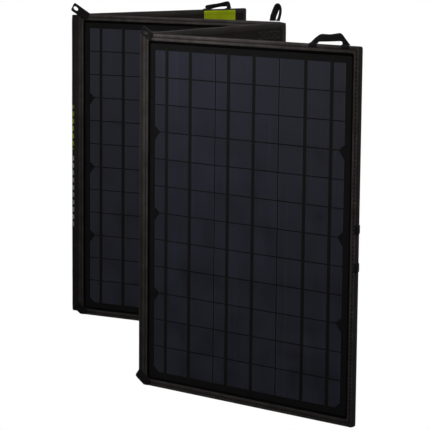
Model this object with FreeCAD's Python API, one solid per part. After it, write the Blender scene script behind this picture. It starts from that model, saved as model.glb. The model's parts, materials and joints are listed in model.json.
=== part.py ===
import FreeCAD, Part
import math
import os

# Folding solar kit: four stitched fabric panels in a zigzag, standing on edge.
# Millimetres, +Z up. The origin is at the bottom centre of the whole kit's box.
#
# Every panel is drawn in its own frame: x along the row of panels, y towards
# the cell side (front), z up, with the origin at the panel's bottom corner and
# mid thickness. A place in the zigzag then carries it into the kit.

# ---- driving dimensions -------------------------------------------------

PANEL_WIDTH = 377.0
PANEL_HEIGHT = 508.0
PANEL_CORNER = 3.0

COVER_THICKNESS = 0.8
BOARD_THICKNESS = 2.4
LAMINATE_THICKNESS = 2.6
BORDER_THICKNESS = 1.6

GUSSET_WALL = 1.2
BOARD_CLEARANCE = 0.4

BORDER_SIDE = 10.0
BORDER_TOP = 10.5
BORDER_BOTTOM = 11.0
WINDOW_CORNER = 3.0
LAMINATE_UNDER_BORDER = 5.0
LAMINATE_CORNER = 3.0

CELL_COLUMNS = 3
CELL_ROWS = 12
CELL_MARGIN_SIDE = 10.95
CELL_MARGIN_ENDS = 11.05
CELL_COLUMN_GAP = 2.2
CELL_ROW_GAP = 1.6
CELL_THICKNESS = 0.25
CELL_CUT_WIDTH = 8.5
CELL_CUT_ABOVE = 7.0
CELL_CUT_BELOW = 11.0
WAFER_ROWS = 3

RIBBON_WIDTH = 5.5
RIBBON_THICKNESS = 0.15
RIBBON_OVERHANG = 2.0
RIBBON_PLACES = ((0.21, 0.60), (0.39, 0.79), (0.41, 0.80))

CAP_WIDTH = 36.0
CAP_HEIGHT = 16.0
CAP_THICKNESS = 1.8
CAP_BELOW_TOP = 56.0
CAP_CLEARANCE = 1.0
CAP_CORNER = 3.0
LEAD_WIDTH = 6.0
LEAD_THICKNESS = 0.9
LEAD_CLEARANCE = 0.4

# the fold lines: how far each lies behind the faces that close on it, and
# the wedge that stands open between those faces at rest
EDGE_TO_FOLD = 0.6
FOLD_NAMES = ("12", "23", "34")
FOLD_OFFSET = {"12": 1.3, "23": 1.0, "34": 4.2}
FOLD_WEDGE = {"12": 97.0, "23": 86.0, "34": 71.0}
FOLD_SIDE = {"12": "back", "23": "front", "34": "back"}
FIRST_HEADING = 140.0

SPINE_BULGE = {"12": 0.9, "23": 0.9, "34": 4.6}
SPINE_THICKNESS = 1.0
SPINE_END_MARGIN = 13.0
SPINE_GAP = 0.4
WEB_THICKNESS = 0.5
WEB_GAP = 0.15

LOOP_THICKNESS = 1.6
LOOP_HINGE_RISE = 1.5
LOOP_FOOT_ABOVE_WINDOW = 1.5
LOOP_FOOT_BELOW_TOP = 0.5
LOOP_FOOT_CORNER = 1.0
HANDLE_BAND = 9.5
HANDLE_FOOT = 13.0
HANDLE_LENGTH = 66.0
HANDLE_TOP_LENGTH = 36.0
HANDLE_HEIGHT = 15.5
HANDLE_1_FROM_FREE_EDGE = 17.0
HANDLE_4_FROM_FREE_EDGE = 32.0
HANDLE_4_LEAN = 28.0

FOLD_LOOP_FROM_EDGE = 3.5
FOLD_LOOP_LENGTH = 28.0
FOLD_LOOP_TOP_LENGTH = 17.0
FOLD_LOOP_FOOT = 10.0
FOLD_LOOP_BAND = 6.0
FOLD_LOOP_HEIGHT = 23.0

TAB_WIDTH = 12.0
TAB_TIP_WIDTH = 9.0
TAB_REACH = {1: 11.0, 3: 21.0}
TAB_ROOT = 9.0
TAB_TIP_CORNER = 2.0
TAB_EYE = 5.0
TAB_EYE_CORNER = 1.6
TAB_EYE_FROM_TIP = 2.2
TAB_THICKNESS = 1.5
TAB_LIFT = 0.3
TAB_ANGLE = {1: 40.0, 3: 44.0}
TAB_INSET = 3.0
FOOT_TAB_REACH = {1: 9.0, 3: 12.0}
FOOT_TAB_ANGLE = 30.0

SIDE_LOOP_CENTRE_HEIGHT = 242.0
SIDE_LOOP_LENGTH = 64.0
SIDE_LOOP_REACH = 26.0
SIDE_LOOP_BAND = 12.0
SIDE_LOOP_THICKNESS = 1.4
SIDE_LOOP_OFF_BACK = 0.5
SIDE_FOOT_HEIGHT = 13.0
SIDE_FOOT_PROUD = 2.4
SIDE_FOOT_CORNER = 1.0
SIDE_FOOT_INSET = 0.5
SIDE_LOOP_INSET = 1.0
SIDE_LOOP_CORNER = 6.0
SIDE_LOOP_GAP_CORNER = 3.0

LABEL_WIDTH = 75.0
LABEL_HEIGHT = 34.0
LABEL_THICKNESS = 0.6
LABEL_CORNER = 1.5
LABEL_FROM_FREE_EDGE = 27.0
LABEL_BELOW_TOP = 2.0

BOX_WIDTH = 84.0
BOX_HEIGHT = 58.0
BOX_DEPTH = 6.2
BOX_WALL = 1.5
BOX_CORNER = 5.0
BOX_CENTRE_Z = 236.0
BOX_LID_THICKNESS = 1.4
BOX_PATCH_THICKNESS = 0.8
BOX_PATCH_MARGIN = 9.0
BOX_SCREW_INSET = 5.5
BOX_SCREW_RADIUS = 1.1
BOX_SCREW_HEAD_RADIUS = 2.1
BOX_SCREW_HEAD = 0.7
BOX_SCREW_END_GAP = 0.7
BOX_BOSS_RADIUS = 2.9
BOX_SLOT_WIDTH = 22.0
BOX_SLOT_HEIGHT = 8.0
OUTLET_BORE_RADIUS = 1.6
OUTLET_RADIUS = 2.7
OUTLET_LENGTH = 12.0
OUTLET_OFF_PATCH = 0.45
OUTLET_RIBS = 3
OUTLET_RIB_PITCH = 3.0
OUTLET_RIB_GROOVE = 1.2
OUTLET_RIB_DEPTH = 0.5
OUTLET_FIRST_RIB = 2.5
TERMINAL_WIDTH = 46.0
TERMINAL_HEIGHT = 16.0
TERMINAL_THICKNESS = 0.6
TERMINAL_BLOCK = 1.6
TERMINAL_BLOCKS = 3
TERMINAL_BLOCK_WIDTH = 8.0
TERMINAL_BLOCK_HEIGHT = 6.0
TERMINAL_BLOCK_PITCH = 14.0
TERMINAL_ABOVE_SLOT = 1.0

# ---- worked out from them -----------------------------------------------

PANEL_THICKNESS = (COVER_THICKNESS + BOARD_THICKNESS
                   + LAMINATE_THICKNESS + BORDER_THICKNESS)
FACE = PANEL_THICKNESS / 2
COVER_TOP = -FACE + COVER_THICKNESS
BOARD_TOP = COVER_TOP + BOARD_THICKNESS
LAMINATE_TOP = BOARD_TOP + LAMINATE_THICKNESS
CELL_TOP = LAMINATE_TOP + CELL_THICKNESS
CELLS_LEFT = BORDER_SIDE + CELL_MARGIN_SIDE
CELLS_WIDE = PANEL_WIDTH - 2 * CELLS_LEFT
CELLS_BOTTOM = BORDER_BOTTOM + CELL_MARGIN_ENDS
CELLS_HIGH = PANEL_HEIGHT - BORDER_TOP - CELL_MARGIN_ENDS - CELLS_BOTTOM
CELL_COLUMN_PITCH = CELLS_WIDE / CELL_COLUMNS
CELL_ROW_PITCH = CELLS_HIGH / CELL_ROWS
BOX_CENTRE_X = PANEL_WIDTH / 2
BOX_SCREW_LENGTH = BOX_DEPTH - BOX_WALL - BOX_SCREW_END_GAP
CAP_Z = PANEL_HEIGHT - CAP_BELOW_TOP
HINGE_Z = PANEL_HEIGHT + LOOP_HINGE_RISE


# ---- shapes in a panel's frame ------------------------------------------

def slab(x0, x1, y0, y1, z0, z1):
    """A box between two corners."""
    return Part.makeBox(x1 - x0, y1 - y0, z1 - z0, FreeCAD.Vector(x0, y0, z0))


def plate(x0, x1, z0, z1, y0, y1, corner):
    """An upright plate with rounded corners."""
    block = slab(x0, x1, y0, y1, z0, z1)
    upright = [e for e in block.Edges
               if abs(e.Vertexes[0].Y - e.Vertexes[-1].Y) > (y1 - y0) / 2]
    return block.makeFillet(corner, upright)


def outline_plate(points, y0, y1):
    """A plate from an outline of (x, z) points."""
    corners = [FreeCAD.Vector(x, y0, z) for x, z in points]
    face = Part.Face(Part.makePolygon(corners + corners[:1]))
    return face.extrude(FreeCAD.Vector(0, y1 - y0, 0))


def panel_outline(inset, y0, y1):
    """The panel's outline, moved in by an inset."""
    return plate(inset, PANEL_WIDTH - inset, inset, PANEL_HEIGHT - inset,
                 y0, y1, PANEL_CORNER - inset)


def make_back_cover(slot):
    """The fabric of the back, with a slot where the leads reach the box."""
    cover = panel_outline(0, -FACE, COVER_TOP)
    return cover.cut(lead_slot(-FACE, COVER_TOP)) if slot else cover


def lead_slot(y0, y1):
    """The slot behind the junction box that its leads come through."""
    return slab(BOX_CENTRE_X - BOX_SLOT_WIDTH / 2, BOX_CENTRE_X + BOX_SLOT_WIDTH / 2,
                y0, y1,
                BOX_CENTRE_Z - BOX_SLOT_HEIGHT / 2, BOX_CENTRE_Z + BOX_SLOT_HEIGHT / 2)


def make_gusset():
    """The side wall of fabric that runs round the panel's edge."""
    outer = panel_outline(0, COVER_TOP, LAMINATE_TOP)
    return outer.cut(panel_outline(GUSSET_WALL, COVER_TOP, LAMINATE_TOP))


def lead_runs(left, right, down):
    """Where the flat leads run: (x0, x1, z0, z1) of each."""
    inside = GUSSET_WALL + BOARD_CLEARANCE
    half = LEAD_WIDTH / 2
    middle = PANEL_WIDTH / 2
    cap = CAP_WIDTH / 2 + CAP_CLEARANCE
    runs = []
    if left:
        runs.append((inside, middle - cap, CAP_Z - half, CAP_Z + half))
    if right:
        runs.append((middle + cap, PANEL_WIDTH - inside, CAP_Z - half, CAP_Z + half))
    if down:
        runs.append((BOX_CENTRE_X - half, BOX_CENTRE_X + half,
                     BOX_CENTRE_Z + BOX_SLOT_HEIGHT / 2,
                     CAP_Z - CAP_HEIGHT / 2 - CAP_CLEARANCE))
    return runs


def make_leads(runs):
    """The flat leads, lying in the board's grooves."""
    top = COVER_TOP + LEAD_THICKNESS
    return [slab(x0, x1, COVER_TOP, top, z0, z1) for x0, x1, z0, z1 in runs]


def make_board(runs):
    """The stiffening board, with a hole for the cap and a groove per lead."""
    inside = GUSSET_WALL + BOARD_CLEARANCE
    board = panel_outline(inside, COVER_TOP, BOARD_TOP)
    wide = CAP_WIDTH / 2 + CAP_CLEARANCE
    high = CAP_HEIGHT / 2 + CAP_CLEARANCE
    middle = PANEL_WIDTH / 2
    board = board.cut(slab(middle - wide, middle + wide, COVER_TOP, BOARD_TOP,
                           CAP_Z - high, CAP_Z + high))
    groove = COVER_TOP + LEAD_THICKNESS + LEAD_CLEARANCE
    for x0, x1, z0, z1 in runs:
        side = LEAD_CLEARANCE if x1 - x0 > z1 - z0 else 0
        flank = LEAD_CLEARANCE - side
        board = board.cut(slab(x0 - flank, x1 + flank, COVER_TOP, groove,
                               z0 - side, z1 + side))
    return board


def make_cap():
    """The potted cap over the laminate's own terminals."""
    middle = PANEL_WIDTH / 2
    return plate(middle - CAP_WIDTH / 2, middle + CAP_WIDTH / 2,
                 CAP_Z - CAP_HEIGHT / 2, CAP_Z + CAP_HEIGHT / 2,
                 BOARD_TOP - CAP_THICKNESS, BOARD_TOP, CAP_CORNER)


def make_laminate():
    """The laminate that carries the cells; the border overlaps its rim."""
    side = BORDER_SIDE - LAMINATE_UNDER_BORDER
    bottom = BORDER_BOTTOM - LAMINATE_UNDER_BORDER
    top = BORDER_TOP - LAMINATE_UNDER_BORDER
    return plate(side, PANEL_WIDTH - side, bottom, PANEL_HEIGHT - top,
                 BOARD_TOP, LAMINATE_TOP, LAMINATE_CORNER)


def cell_outline(x0, x1, z0, z1, cuts):
    """A cell's outline; cuts gives the legs cut off its outer corners."""
    low_left, low_right, high_right, high_left = cuts
    points = []
    for (x, z), (cut_x, cut_z), inward, upward, first in (
            ((x0, z0), low_left, 1, 1, "z"),
            ((x1, z0), low_right, -1, 1, "x"),
            ((x1, z1), high_right, -1, -1, "z"),
            ((x0, z1), high_left, 1, -1, "x")):
        if not cut_x:
            points.append((x, z))
            continue
        along_x = (x + inward * cut_x, z)
        along_z = (x, z + upward * cut_z)
        points += [along_z, along_x] if first == "z" else [along_x, along_z]
    return points


def make_cells():
    """The cells in their rows and columns, outer corners cut in threes."""
    none = (0, 0)
    above = (CELL_CUT_WIDTH, CELL_CUT_ABOVE)
    below = (CELL_CUT_WIDTH, CELL_CUT_BELOW)
    cells = []
    for column in range(CELL_COLUMNS):
        x0 = CELLS_LEFT + column * CELL_COLUMN_PITCH + CELL_COLUMN_GAP / 2
        x1 = x0 + CELL_COLUMN_PITCH - CELL_COLUMN_GAP
        for row in range(CELL_ROWS):
            z1 = CELLS_BOTTOM + CELLS_HIGH - row * CELL_ROW_PITCH - CELL_ROW_GAP / 2
            z0 = z1 - CELL_ROW_PITCH + CELL_ROW_GAP
            low = above if row % WAFER_ROWS == WAFER_ROWS - 1 else none
            high = below if row and row % WAFER_ROWS == 0 else none
            left = column == 0
            right = column == CELL_COLUMNS - 1
            cuts = (low if left else none, low if right else none,
                    high if right else none, high if left else none)
            outline = cell_outline(x0, x1, z0, z1, cuts)
            cells.append(outline_plate(outline, LAMINATE_TOP, CELL_TOP))
    return cells


def make_ribbons():
    """The tabbing ribbons that join each column's cells from top to bottom."""
    ribbons = []
    for column, places in enumerate(RIBBON_PLACES):
        for share in places:
            middle = CELLS_LEFT + (column + share) * CELL_COLUMN_PITCH
            ribbons.append(slab(middle - RIBBON_WIDTH / 2, middle + RIBBON_WIDTH / 2,
                                CELL_TOP, CELL_TOP + RIBBON_THICKNESS,
                                CELLS_BOTTOM - RIBBON_OVERHANG,
                                CELLS_BOTTOM + CELLS_HIGH + RIBBON_OVERHANG))
    return ribbons


def make_border():
    """The folded fabric border round the window in the front."""
    border = panel_outline(0, LAMINATE_TOP, FACE)
    window = plate(BORDER_SIDE, PANEL_WIDTH - BORDER_SIDE,
                   BORDER_BOTTOM, PANEL_HEIGHT - BORDER_TOP,
                   LAMINATE_TOP, FACE, WINDOW_CORNER)
    return border.cut(window)


def make_loop(x0, length, top_length, foot, band, height):
    """An upright webbing loop on the hinge line: a bent band with two feet."""
    slope = (length - top_length) / 2
    x1 = x0 + length
    low = HINGE_Z
    high = low + height
    outer = outline_plate([(x0, low), (x1, low), (x1 - slope, high),
                           (x0 + slope, high)],
                          -LOOP_THICKNESS / 2, LOOP_THICKNESS / 2)
    gap = slab(x0 + foot, x1 - foot, -LOOP_THICKNESS, LOOP_THICKNESS,
               low, high - band)
    return outer.cut(gap)


def make_loop_feet(x0, length, foot):
    """The ends of a loop, sewn flat on the front of the top border."""
    low = PANEL_HEIGHT - BORDER_TOP + LOOP_FOOT_ABOVE_WINDOW
    return [plate(x, x + foot, low, PANEL_HEIGHT - LOOP_FOOT_BELOW_TOP,
                  FACE, FACE + LOOP_THICKNESS / 2, LOOP_FOOT_CORNER)
            for x in (x0, x0 + length - foot)]


def make_tab(number, bottom):
    """A webbing tab at a corner beside the fold, sewn on the front border."""
    reach = (FOOT_TAB_REACH if bottom else TAB_REACH)[number]
    half = TAB_WIDTH / 2
    tip = half if bottom else TAB_TIP_WIDTH / 2
    cut = TAB_TIP_CORNER
    tab = outline_plate([(-TAB_ROOT, -half), (0, -half),
                         (reach - cut, -tip), (reach, cut - tip),
                         (reach, tip - cut), (reach - cut, tip),
                         (0, half), (-TAB_ROOT, half)],
                        FACE, FACE + TAB_THICKNESS)
    if not bottom:
        middle = reach - TAB_EYE_FROM_TIP - TAB_EYE / 2
        tab = tab.cut(plate(middle - TAB_EYE / 2, middle + TAB_EYE / 2,
                            -TAB_EYE / 2, TAB_EYE / 2,
                            FACE, FACE + TAB_THICKNESS, TAB_EYE_CORNER))
    turn = FOOT_TAB_ANGLE if bottom else -TAB_ANGLE[number]
    low = half + TAB_INSET / 2
    tab.Placement = FreeCAD.Placement(
        FreeCAD.Vector(PANEL_WIDTH - TAB_INSET, 0,
                       low if bottom else PANEL_HEIGHT - TAB_INSET),
        FreeCAD.Rotation(FreeCAD.Vector(0, 1, 0), turn))
    # past the edge it stands off, so that it slides over the next panel
    far = PANEL_WIDTH + 2 * reach
    tab = tab.cut(slab(PANEL_WIDTH, far, FACE, FACE + TAB_LIFT,
                       -reach, PANEL_HEIGHT + 2 * reach))
    return tab.cut(slab(0, far, FACE, FACE + TAB_THICKNESS, -2 * reach, 0))


def make_side_loop():
    """The carry loop of the first panel's free edge, lying on its back."""
    low = SIDE_LOOP_CENTRE_HEIGHT - SIDE_LOOP_LENGTH / 2
    high = low + SIDE_LOOP_LENGTH
    y1 = -FACE - SIDE_LOOP_OFF_BACK
    y0 = y1 - SIDE_LOOP_THICKNESS
    band = plate(SIDE_LOOP_INSET, SIDE_LOOP_REACH, low, high, y0, y1,
                 SIDE_LOOP_CORNER)
    inner = SIDE_LOOP_REACH - SIDE_LOOP_BAND
    gap = plate(-inner, inner, low + SIDE_FOOT_HEIGHT, high - SIDE_FOOT_HEIGHT,
                y0, y1, SIDE_LOOP_GAP_CORNER)
    return band.cut(gap)


def make_side_feet():
    """The loop's two ends, sewn round the first panel's free edge."""
    feet = []
    for side in (-1, 1):
        middle = (SIDE_LOOP_CENTRE_HEIGHT
                  + side * (SIDE_LOOP_LENGTH - SIDE_FOOT_HEIGHT) / 2)
        half = SIDE_FOOT_HEIGHT / 2 - SIDE_FOOT_INSET
        feet.append(plate(-SIDE_FOOT_PROUD, 0, middle - half, middle + half,
                          -FACE, FACE, SIDE_FOOT_CORNER))
    return feet


def make_label():
    """The woven label on the fourth panel's back, below the handle."""
    x1 = PANEL_WIDTH - LABEL_FROM_FREE_EDGE
    z1 = PANEL_HEIGHT - LABEL_BELOW_TOP
    return plate(x1 - LABEL_WIDTH, x1, z1 - LABEL_HEIGHT, z1,
                 -FACE - LABEL_THICKNESS, -FACE, LABEL_CORNER)


# ---- the junction box on the fourth panel's back ------------------------

BOX_X0 = BOX_CENTRE_X - BOX_WIDTH / 2
BOX_X1 = BOX_CENTRE_X + BOX_WIDTH / 2
BOX_Z0 = BOX_CENTRE_Z - BOX_HEIGHT / 2
BOX_Z1 = BOX_CENTRE_Z + BOX_HEIGHT / 2
BOX_SEAT = -FACE - BOX_PATCH_THICKNESS
BOX_FRONT = BOX_SEAT - BOX_DEPTH
LID_SEAT = BOX_FRONT + BOX_LID_THICKNESS
BOX_FLOOR = BOX_SEAT - BOX_WALL


def screw_places():
    """The centres of the lid's screws."""
    return [(x, z)
            for x in (BOX_X0 + BOX_SCREW_INSET, BOX_X1 - BOX_SCREW_INSET)
            for z in (BOX_Z0 + BOX_SCREW_INSET, BOX_Z1 - BOX_SCREW_INSET)]


def peg(x, z, radius, y0, y1):
    """A round peg along y."""
    return Part.makeCylinder(radius, y1 - y0, FreeCAD.Vector(x, y0, z),
                             FreeCAD.Vector(0, 1, 0))


def make_patch():
    """The patch that the junction box is sewn and bonded to."""
    margin = BOX_PATCH_MARGIN
    patch = plate(BOX_X0 - margin, BOX_X1 + margin, BOX_Z0 - margin, BOX_Z1 + margin,
                  BOX_SEAT, -FACE, BOX_CORNER)
    return patch.cut(lead_slot(BOX_SEAT, -FACE))


def outlet_axis(radius, z0, z1):
    """A cylinder along the cable outlet, just clear of the patch."""
    y = BOX_SEAT - OUTLET_OFF_PATCH - OUTLET_RADIUS
    return Part.makeCylinder(radius, z1 - z0, FreeCAD.Vector(BOX_CENTRE_X, y, z0))


def make_tray():
    """The junction box's tray, with screw bosses and the outlet's hole."""
    tray = plate(BOX_X0, BOX_X1, BOX_Z0, BOX_Z1, LID_SEAT, BOX_SEAT, BOX_CORNER)
    tray = tray.cut(plate(BOX_X0 + BOX_WALL, BOX_X1 - BOX_WALL,
                          BOX_Z0 + BOX_WALL, BOX_Z1 - BOX_WALL,
                          LID_SEAT, BOX_FLOOR, BOX_CORNER - BOX_WALL))
    for x, z in screw_places():
        tray = tray.fuse(peg(x, z, BOX_BOSS_RADIUS, LID_SEAT, BOX_FLOOR))
    for x, z in screw_places():
        tray = tray.cut(peg(x, z, BOX_SCREW_RADIUS, LID_SEAT, BOX_FLOOR))
    tray = tray.cut(lead_slot(BOX_FLOOR, BOX_SEAT))
    return tray.cut(outlet_axis(OUTLET_BORE_RADIUS, BOX_Z0, BOX_Z0 + BOX_WALL))


def make_lid():
    """The lid, with countersunk places for its screws' heads."""
    lid = plate(BOX_X0, BOX_X1, BOX_Z0, BOX_Z1, BOX_FRONT, LID_SEAT, BOX_CORNER)
    for x, z in screw_places():
        lid = lid.cut(peg(x, z, BOX_SCREW_RADIUS, BOX_FRONT, LID_SEAT))
        lid = lid.cut(peg(x, z, BOX_SCREW_HEAD_RADIUS, BOX_FRONT,
                          BOX_FRONT + BOX_SCREW_HEAD))
    return lid


def make_screws():
    """The lid's four screws."""
    return [peg(x, z, BOX_SCREW_HEAD_RADIUS, BOX_FRONT, BOX_FRONT + BOX_SCREW_HEAD)
            .fuse(peg(x, z, BOX_SCREW_RADIUS, BOX_FRONT, BOX_FRONT + BOX_SCREW_LENGTH))
            for x, z in screw_places()]


def make_outlet():
    """The gland below the box that the output cable comes out of."""
    low = BOX_Z0 - OUTLET_LENGTH
    gland = outlet_axis(OUTLET_RADIUS, low, BOX_Z0)
    core = OUTLET_RADIUS - OUTLET_RIB_DEPTH
    for rib in range(OUTLET_RIBS):
        z0 = low + OUTLET_FIRST_RIB + OUTLET_RIB_PITCH * rib
        z1 = z0 + OUTLET_RIB_GROOVE
        groove = outlet_axis(OUTLET_RADIUS, z0, z1)
        gland = gland.cut(groove.cut(outlet_axis(core, z0, z1)))
    return gland.cut(outlet_axis(OUTLET_BORE_RADIUS, low, BOX_Z0))


def make_terminals():
    """The terminal board on the tray's floor, with its diode blocks."""
    x0 = BOX_CENTRE_X - TERMINAL_WIDTH / 2
    z0 = BOX_CENTRE_Z + BOX_SLOT_HEIGHT / 2 + TERMINAL_ABOVE_SLOT
    y1 = BOX_FLOOR
    board = slab(x0, x0 + TERMINAL_WIDTH, y1 - TERMINAL_THICKNESS, y1,
                 z0, z0 + TERMINAL_HEIGHT)
    low = z0 + (TERMINAL_HEIGHT - TERMINAL_BLOCK_HEIGHT) / 2
    row = (TERMINAL_BLOCKS - 1) * TERMINAL_BLOCK_PITCH + TERMINAL_BLOCK_WIDTH
    first = BOX_CENTRE_X - row / 2
    for place in range(TERMINAL_BLOCKS):
        x = first + place * TERMINAL_BLOCK_PITCH
        board = board.fuse(slab(x, x + TERMINAL_BLOCK_WIDTH, y1 - TERMINAL_BLOCK, y1,
                                low, low + TERMINAL_BLOCK_HEIGHT))
    return board


# ---- the zigzag ---------------------------------------------------------

def heading_vectors(degrees):
    """The directions along a panel and towards its front."""
    a = math.radians(degrees)
    along = FreeCAD.Vector(math.cos(a), math.sin(a), 0)
    return along, FreeCAD.Vector(-along.y, along.x, 0)


def lay_out():
    """Each panel's origin and heading, and each fold line, from fold 12 on."""
    headings = [FIRST_HEADING]
    for fold in FOLD_NAMES:
        turn = 180 - FOLD_WEDGE[fold]
        sign = -1 if FOLD_SIDE[fold] == "back" else 1
        headings.append(headings[-1] + sign * turn)
    beyond = PANEL_WIDTH + EDGE_TO_FOLD
    along, front = heading_vectors(headings[0])
    depth = FACE + FOLD_OFFSET["12"]
    origins = [along * -beyond + front * depth]
    folds = {}
    for fold, heading in zip(FOLD_NAMES, headings[1:]):
        side = -1 if FOLD_SIDE[fold] == "back" else 1
        depth = side * (FACE + FOLD_OFFSET[fold])
        folds[fold] = origins[-1] + along * beyond + front * depth
        along, front = heading_vectors(heading)
        origins.append(folds[fold] + along * EDGE_TO_FOLD - front * depth)
    return origins, headings, folds


def spine(fold, folds, headings):
    """The fabric strip that wraps the outer side of a fold, as an open arc."""
    n = FOLD_NAMES.index(fold)
    inner = PANEL_THICKNESS + FOLD_OFFSET[fold] + SPINE_BULGE[fold]
    side = 1 if FOLD_SIDE[fold] == "back" else -1
    start = headings[n] + 90 * side
    sweep = 180 - FOLD_WEDGE[fold]
    if side > 0:
        start -= sweep
    # the arc stops short of the two panels' edges
    trim = math.degrees((EDGE_TO_FOLD + SPINE_GAP) / inner)
    start += trim
    sweep -= 2 * trim
    low = SPINE_END_MARGIN
    high = PANEL_HEIGHT - 2 * SPINE_END_MARGIN
    outer = Part.makeCylinder(inner + SPINE_THICKNESS, high,
                              folds[fold] + FreeCAD.Vector(0, 0, low),
                              FreeCAD.Vector(0, 0, 1), sweep)
    hollow = Part.makeCylinder(inner, high, folds[fold] + FreeCAD.Vector(0, 0, low),
                               FreeCAD.Vector(0, 0, 1), sweep)
    strip = outer.cut(hollow)
    strip.rotate(folds[fold], FreeCAD.Vector(0, 0, 1), start)
    return strip


def make_web(at_end, fold):
    """The strip of fabric from a panel's edge to the fold line it turns on."""
    side = -1 if FOLD_SIDE[fold] == "back" else 1
    edge = PANEL_WIDTH if at_end else 0.0
    outward = 1 if at_end else -1
    # it stands on the closing face, just inside the edge, and reaches the fold
    reach = FOLD_OFFSET[fold] - WEB_GAP
    x0 = edge - outward * WEB_THICKNESS
    face = side * FACE
    tip = face + side * reach
    return slab(min(edge, x0), max(edge, x0), min(face, tip), max(face, tip),
                SPINE_END_MARGIN, PANEL_HEIGHT - SPINE_END_MARGIN)


def loop_lean(shape, degrees):
    """Lean a loop about its hinge line; positive leans towards the front."""
    shape.rotate(FreeCAD.Vector(0, 0, HINGE_Z), FreeCAD.Vector(1, 0, 0), -degrees)
    return shape


def panel_parts(number):
    """One panel's own pieces, as node name: list of solids."""
    first = number == 1
    last = number == 4
    runs = lead_runs(not first, not last, last)
    parts = {
        "back_cover": [make_back_cover(last)],
        "side_gusset": [make_gusset()],
        "stiffener_board": [make_board(runs)],
        "terminal_cap": [make_cap()],
        "flat_leads": make_leads(runs),
        "laminate": [make_laminate()],
        "cells": make_cells(),
        "tabbing_ribbons": make_ribbons(),
        "window_border": [make_border()],
    }
    webs = []
    if not first:
        webs.append(make_web(False, FOLD_NAMES[number - 2]))
    if not last:
        webs.append(make_web(True, FOLD_NAMES[number - 1]))
    parts["fold_webs"] = webs
    return {f"{name}_{number}": solids for name, solids in parts.items()}


def extras(number):
    """What is sewn on one panel and not on the others."""
    if number == 1:
        x0 = HANDLE_1_FROM_FREE_EDGE
        return {
            "handle_1": [make_loop(x0, HANDLE_LENGTH, HANDLE_TOP_LENGTH, HANDLE_FOOT,
                                   HANDLE_BAND, HANDLE_HEIGHT)],
            "handle_feet_1": make_loop_feet(x0, HANDLE_LENGTH, HANDLE_FOOT),
            "corner_tabs_1": [make_tab(1, False), make_tab(1, True)],
            "side_loop_1": [make_side_loop()],
            "side_loop_feet_1": make_side_feet(),
        }
    if number == 3:
        return {
            "fold_loop_3": [make_loop(FOLD_LOOP_FROM_EDGE, FOLD_LOOP_LENGTH,
                                      FOLD_LOOP_TOP_LENGTH, FOLD_LOOP_FOOT,
                                      FOLD_LOOP_BAND, FOLD_LOOP_HEIGHT)],
            "corner_tabs_3": [make_tab(3, False), make_tab(3, True)],
        }
    if number == 4:
        x0 = PANEL_WIDTH - HANDLE_4_FROM_FREE_EDGE - HANDLE_LENGTH
        loop = make_loop(x0, HANDLE_LENGTH, HANDLE_TOP_LENGTH, HANDLE_FOOT,
                         HANDLE_BAND, HANDLE_HEIGHT)
        return {
            "handle_4": [loop_lean(loop, HANDLE_4_LEAN)],
            "handle_feet_4": make_loop_feet(x0, HANDLE_LENGTH, HANDLE_FOOT),
            "woven_label_4": [make_label()],
            "box_patch_4": [make_patch()],
            "box_tray_4": [make_tray()],
            "box_lid_4": [make_lid()],
            "box_screws_4": make_screws(),
            "cable_outlet_4": [make_outlet()],
            "box_terminals_4": [make_terminals()],
        }
    return {}


def build():
    """Every node of the kit, in place, and where its panels and folds are."""
    origins, headings, folds = lay_out()
    nodes = {}
    for number in (1, 2, 3, 4):
        place = FreeCAD.Placement(
            origins[number - 1],
            FreeCAD.Rotation(FreeCAD.Vector(0, 0, 1), headings[number - 1]))
        own = panel_parts(number)
        own.update(extras(number))
        for name, solids in own.items():
            for solid in solids:
                solid.Placement = place.multiply(solid.Placement)
            nodes[name] = solids
    for fold in FOLD_NAMES:
        nodes[f"fold_spine_{fold}"] = [spine(fold, folds, headings)]

    whole = Part.makeCompound([s for solids in nodes.values() for s in solids])
    box = whole.BoundBox
    shift = FreeCAD.Vector(-box.Center.x, -box.Center.y, -box.ZMin)
    for solids in nodes.values():
        for solid in solids:
            solid.translate(shift)
    origins = [o + shift for o in origins]
    folds = {name: place + shift for name, place in folds.items()}
    return nodes, origins, headings, folds


def main():
    """Write each node's solids to a STEP file of its own."""
    os.makedirs("parts", exist_ok=True)
    nodes, origins, headings, folds = build()
    for name, solids in nodes.items():
        shape = solids[0] if len(solids) == 1 else Part.makeCompound(solids)
        shape.exportStep(f"parts/{name}.step")
    print(len(nodes), "nodes")


if __name__ == "__main__":
    main()
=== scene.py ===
import json
import math

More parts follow.
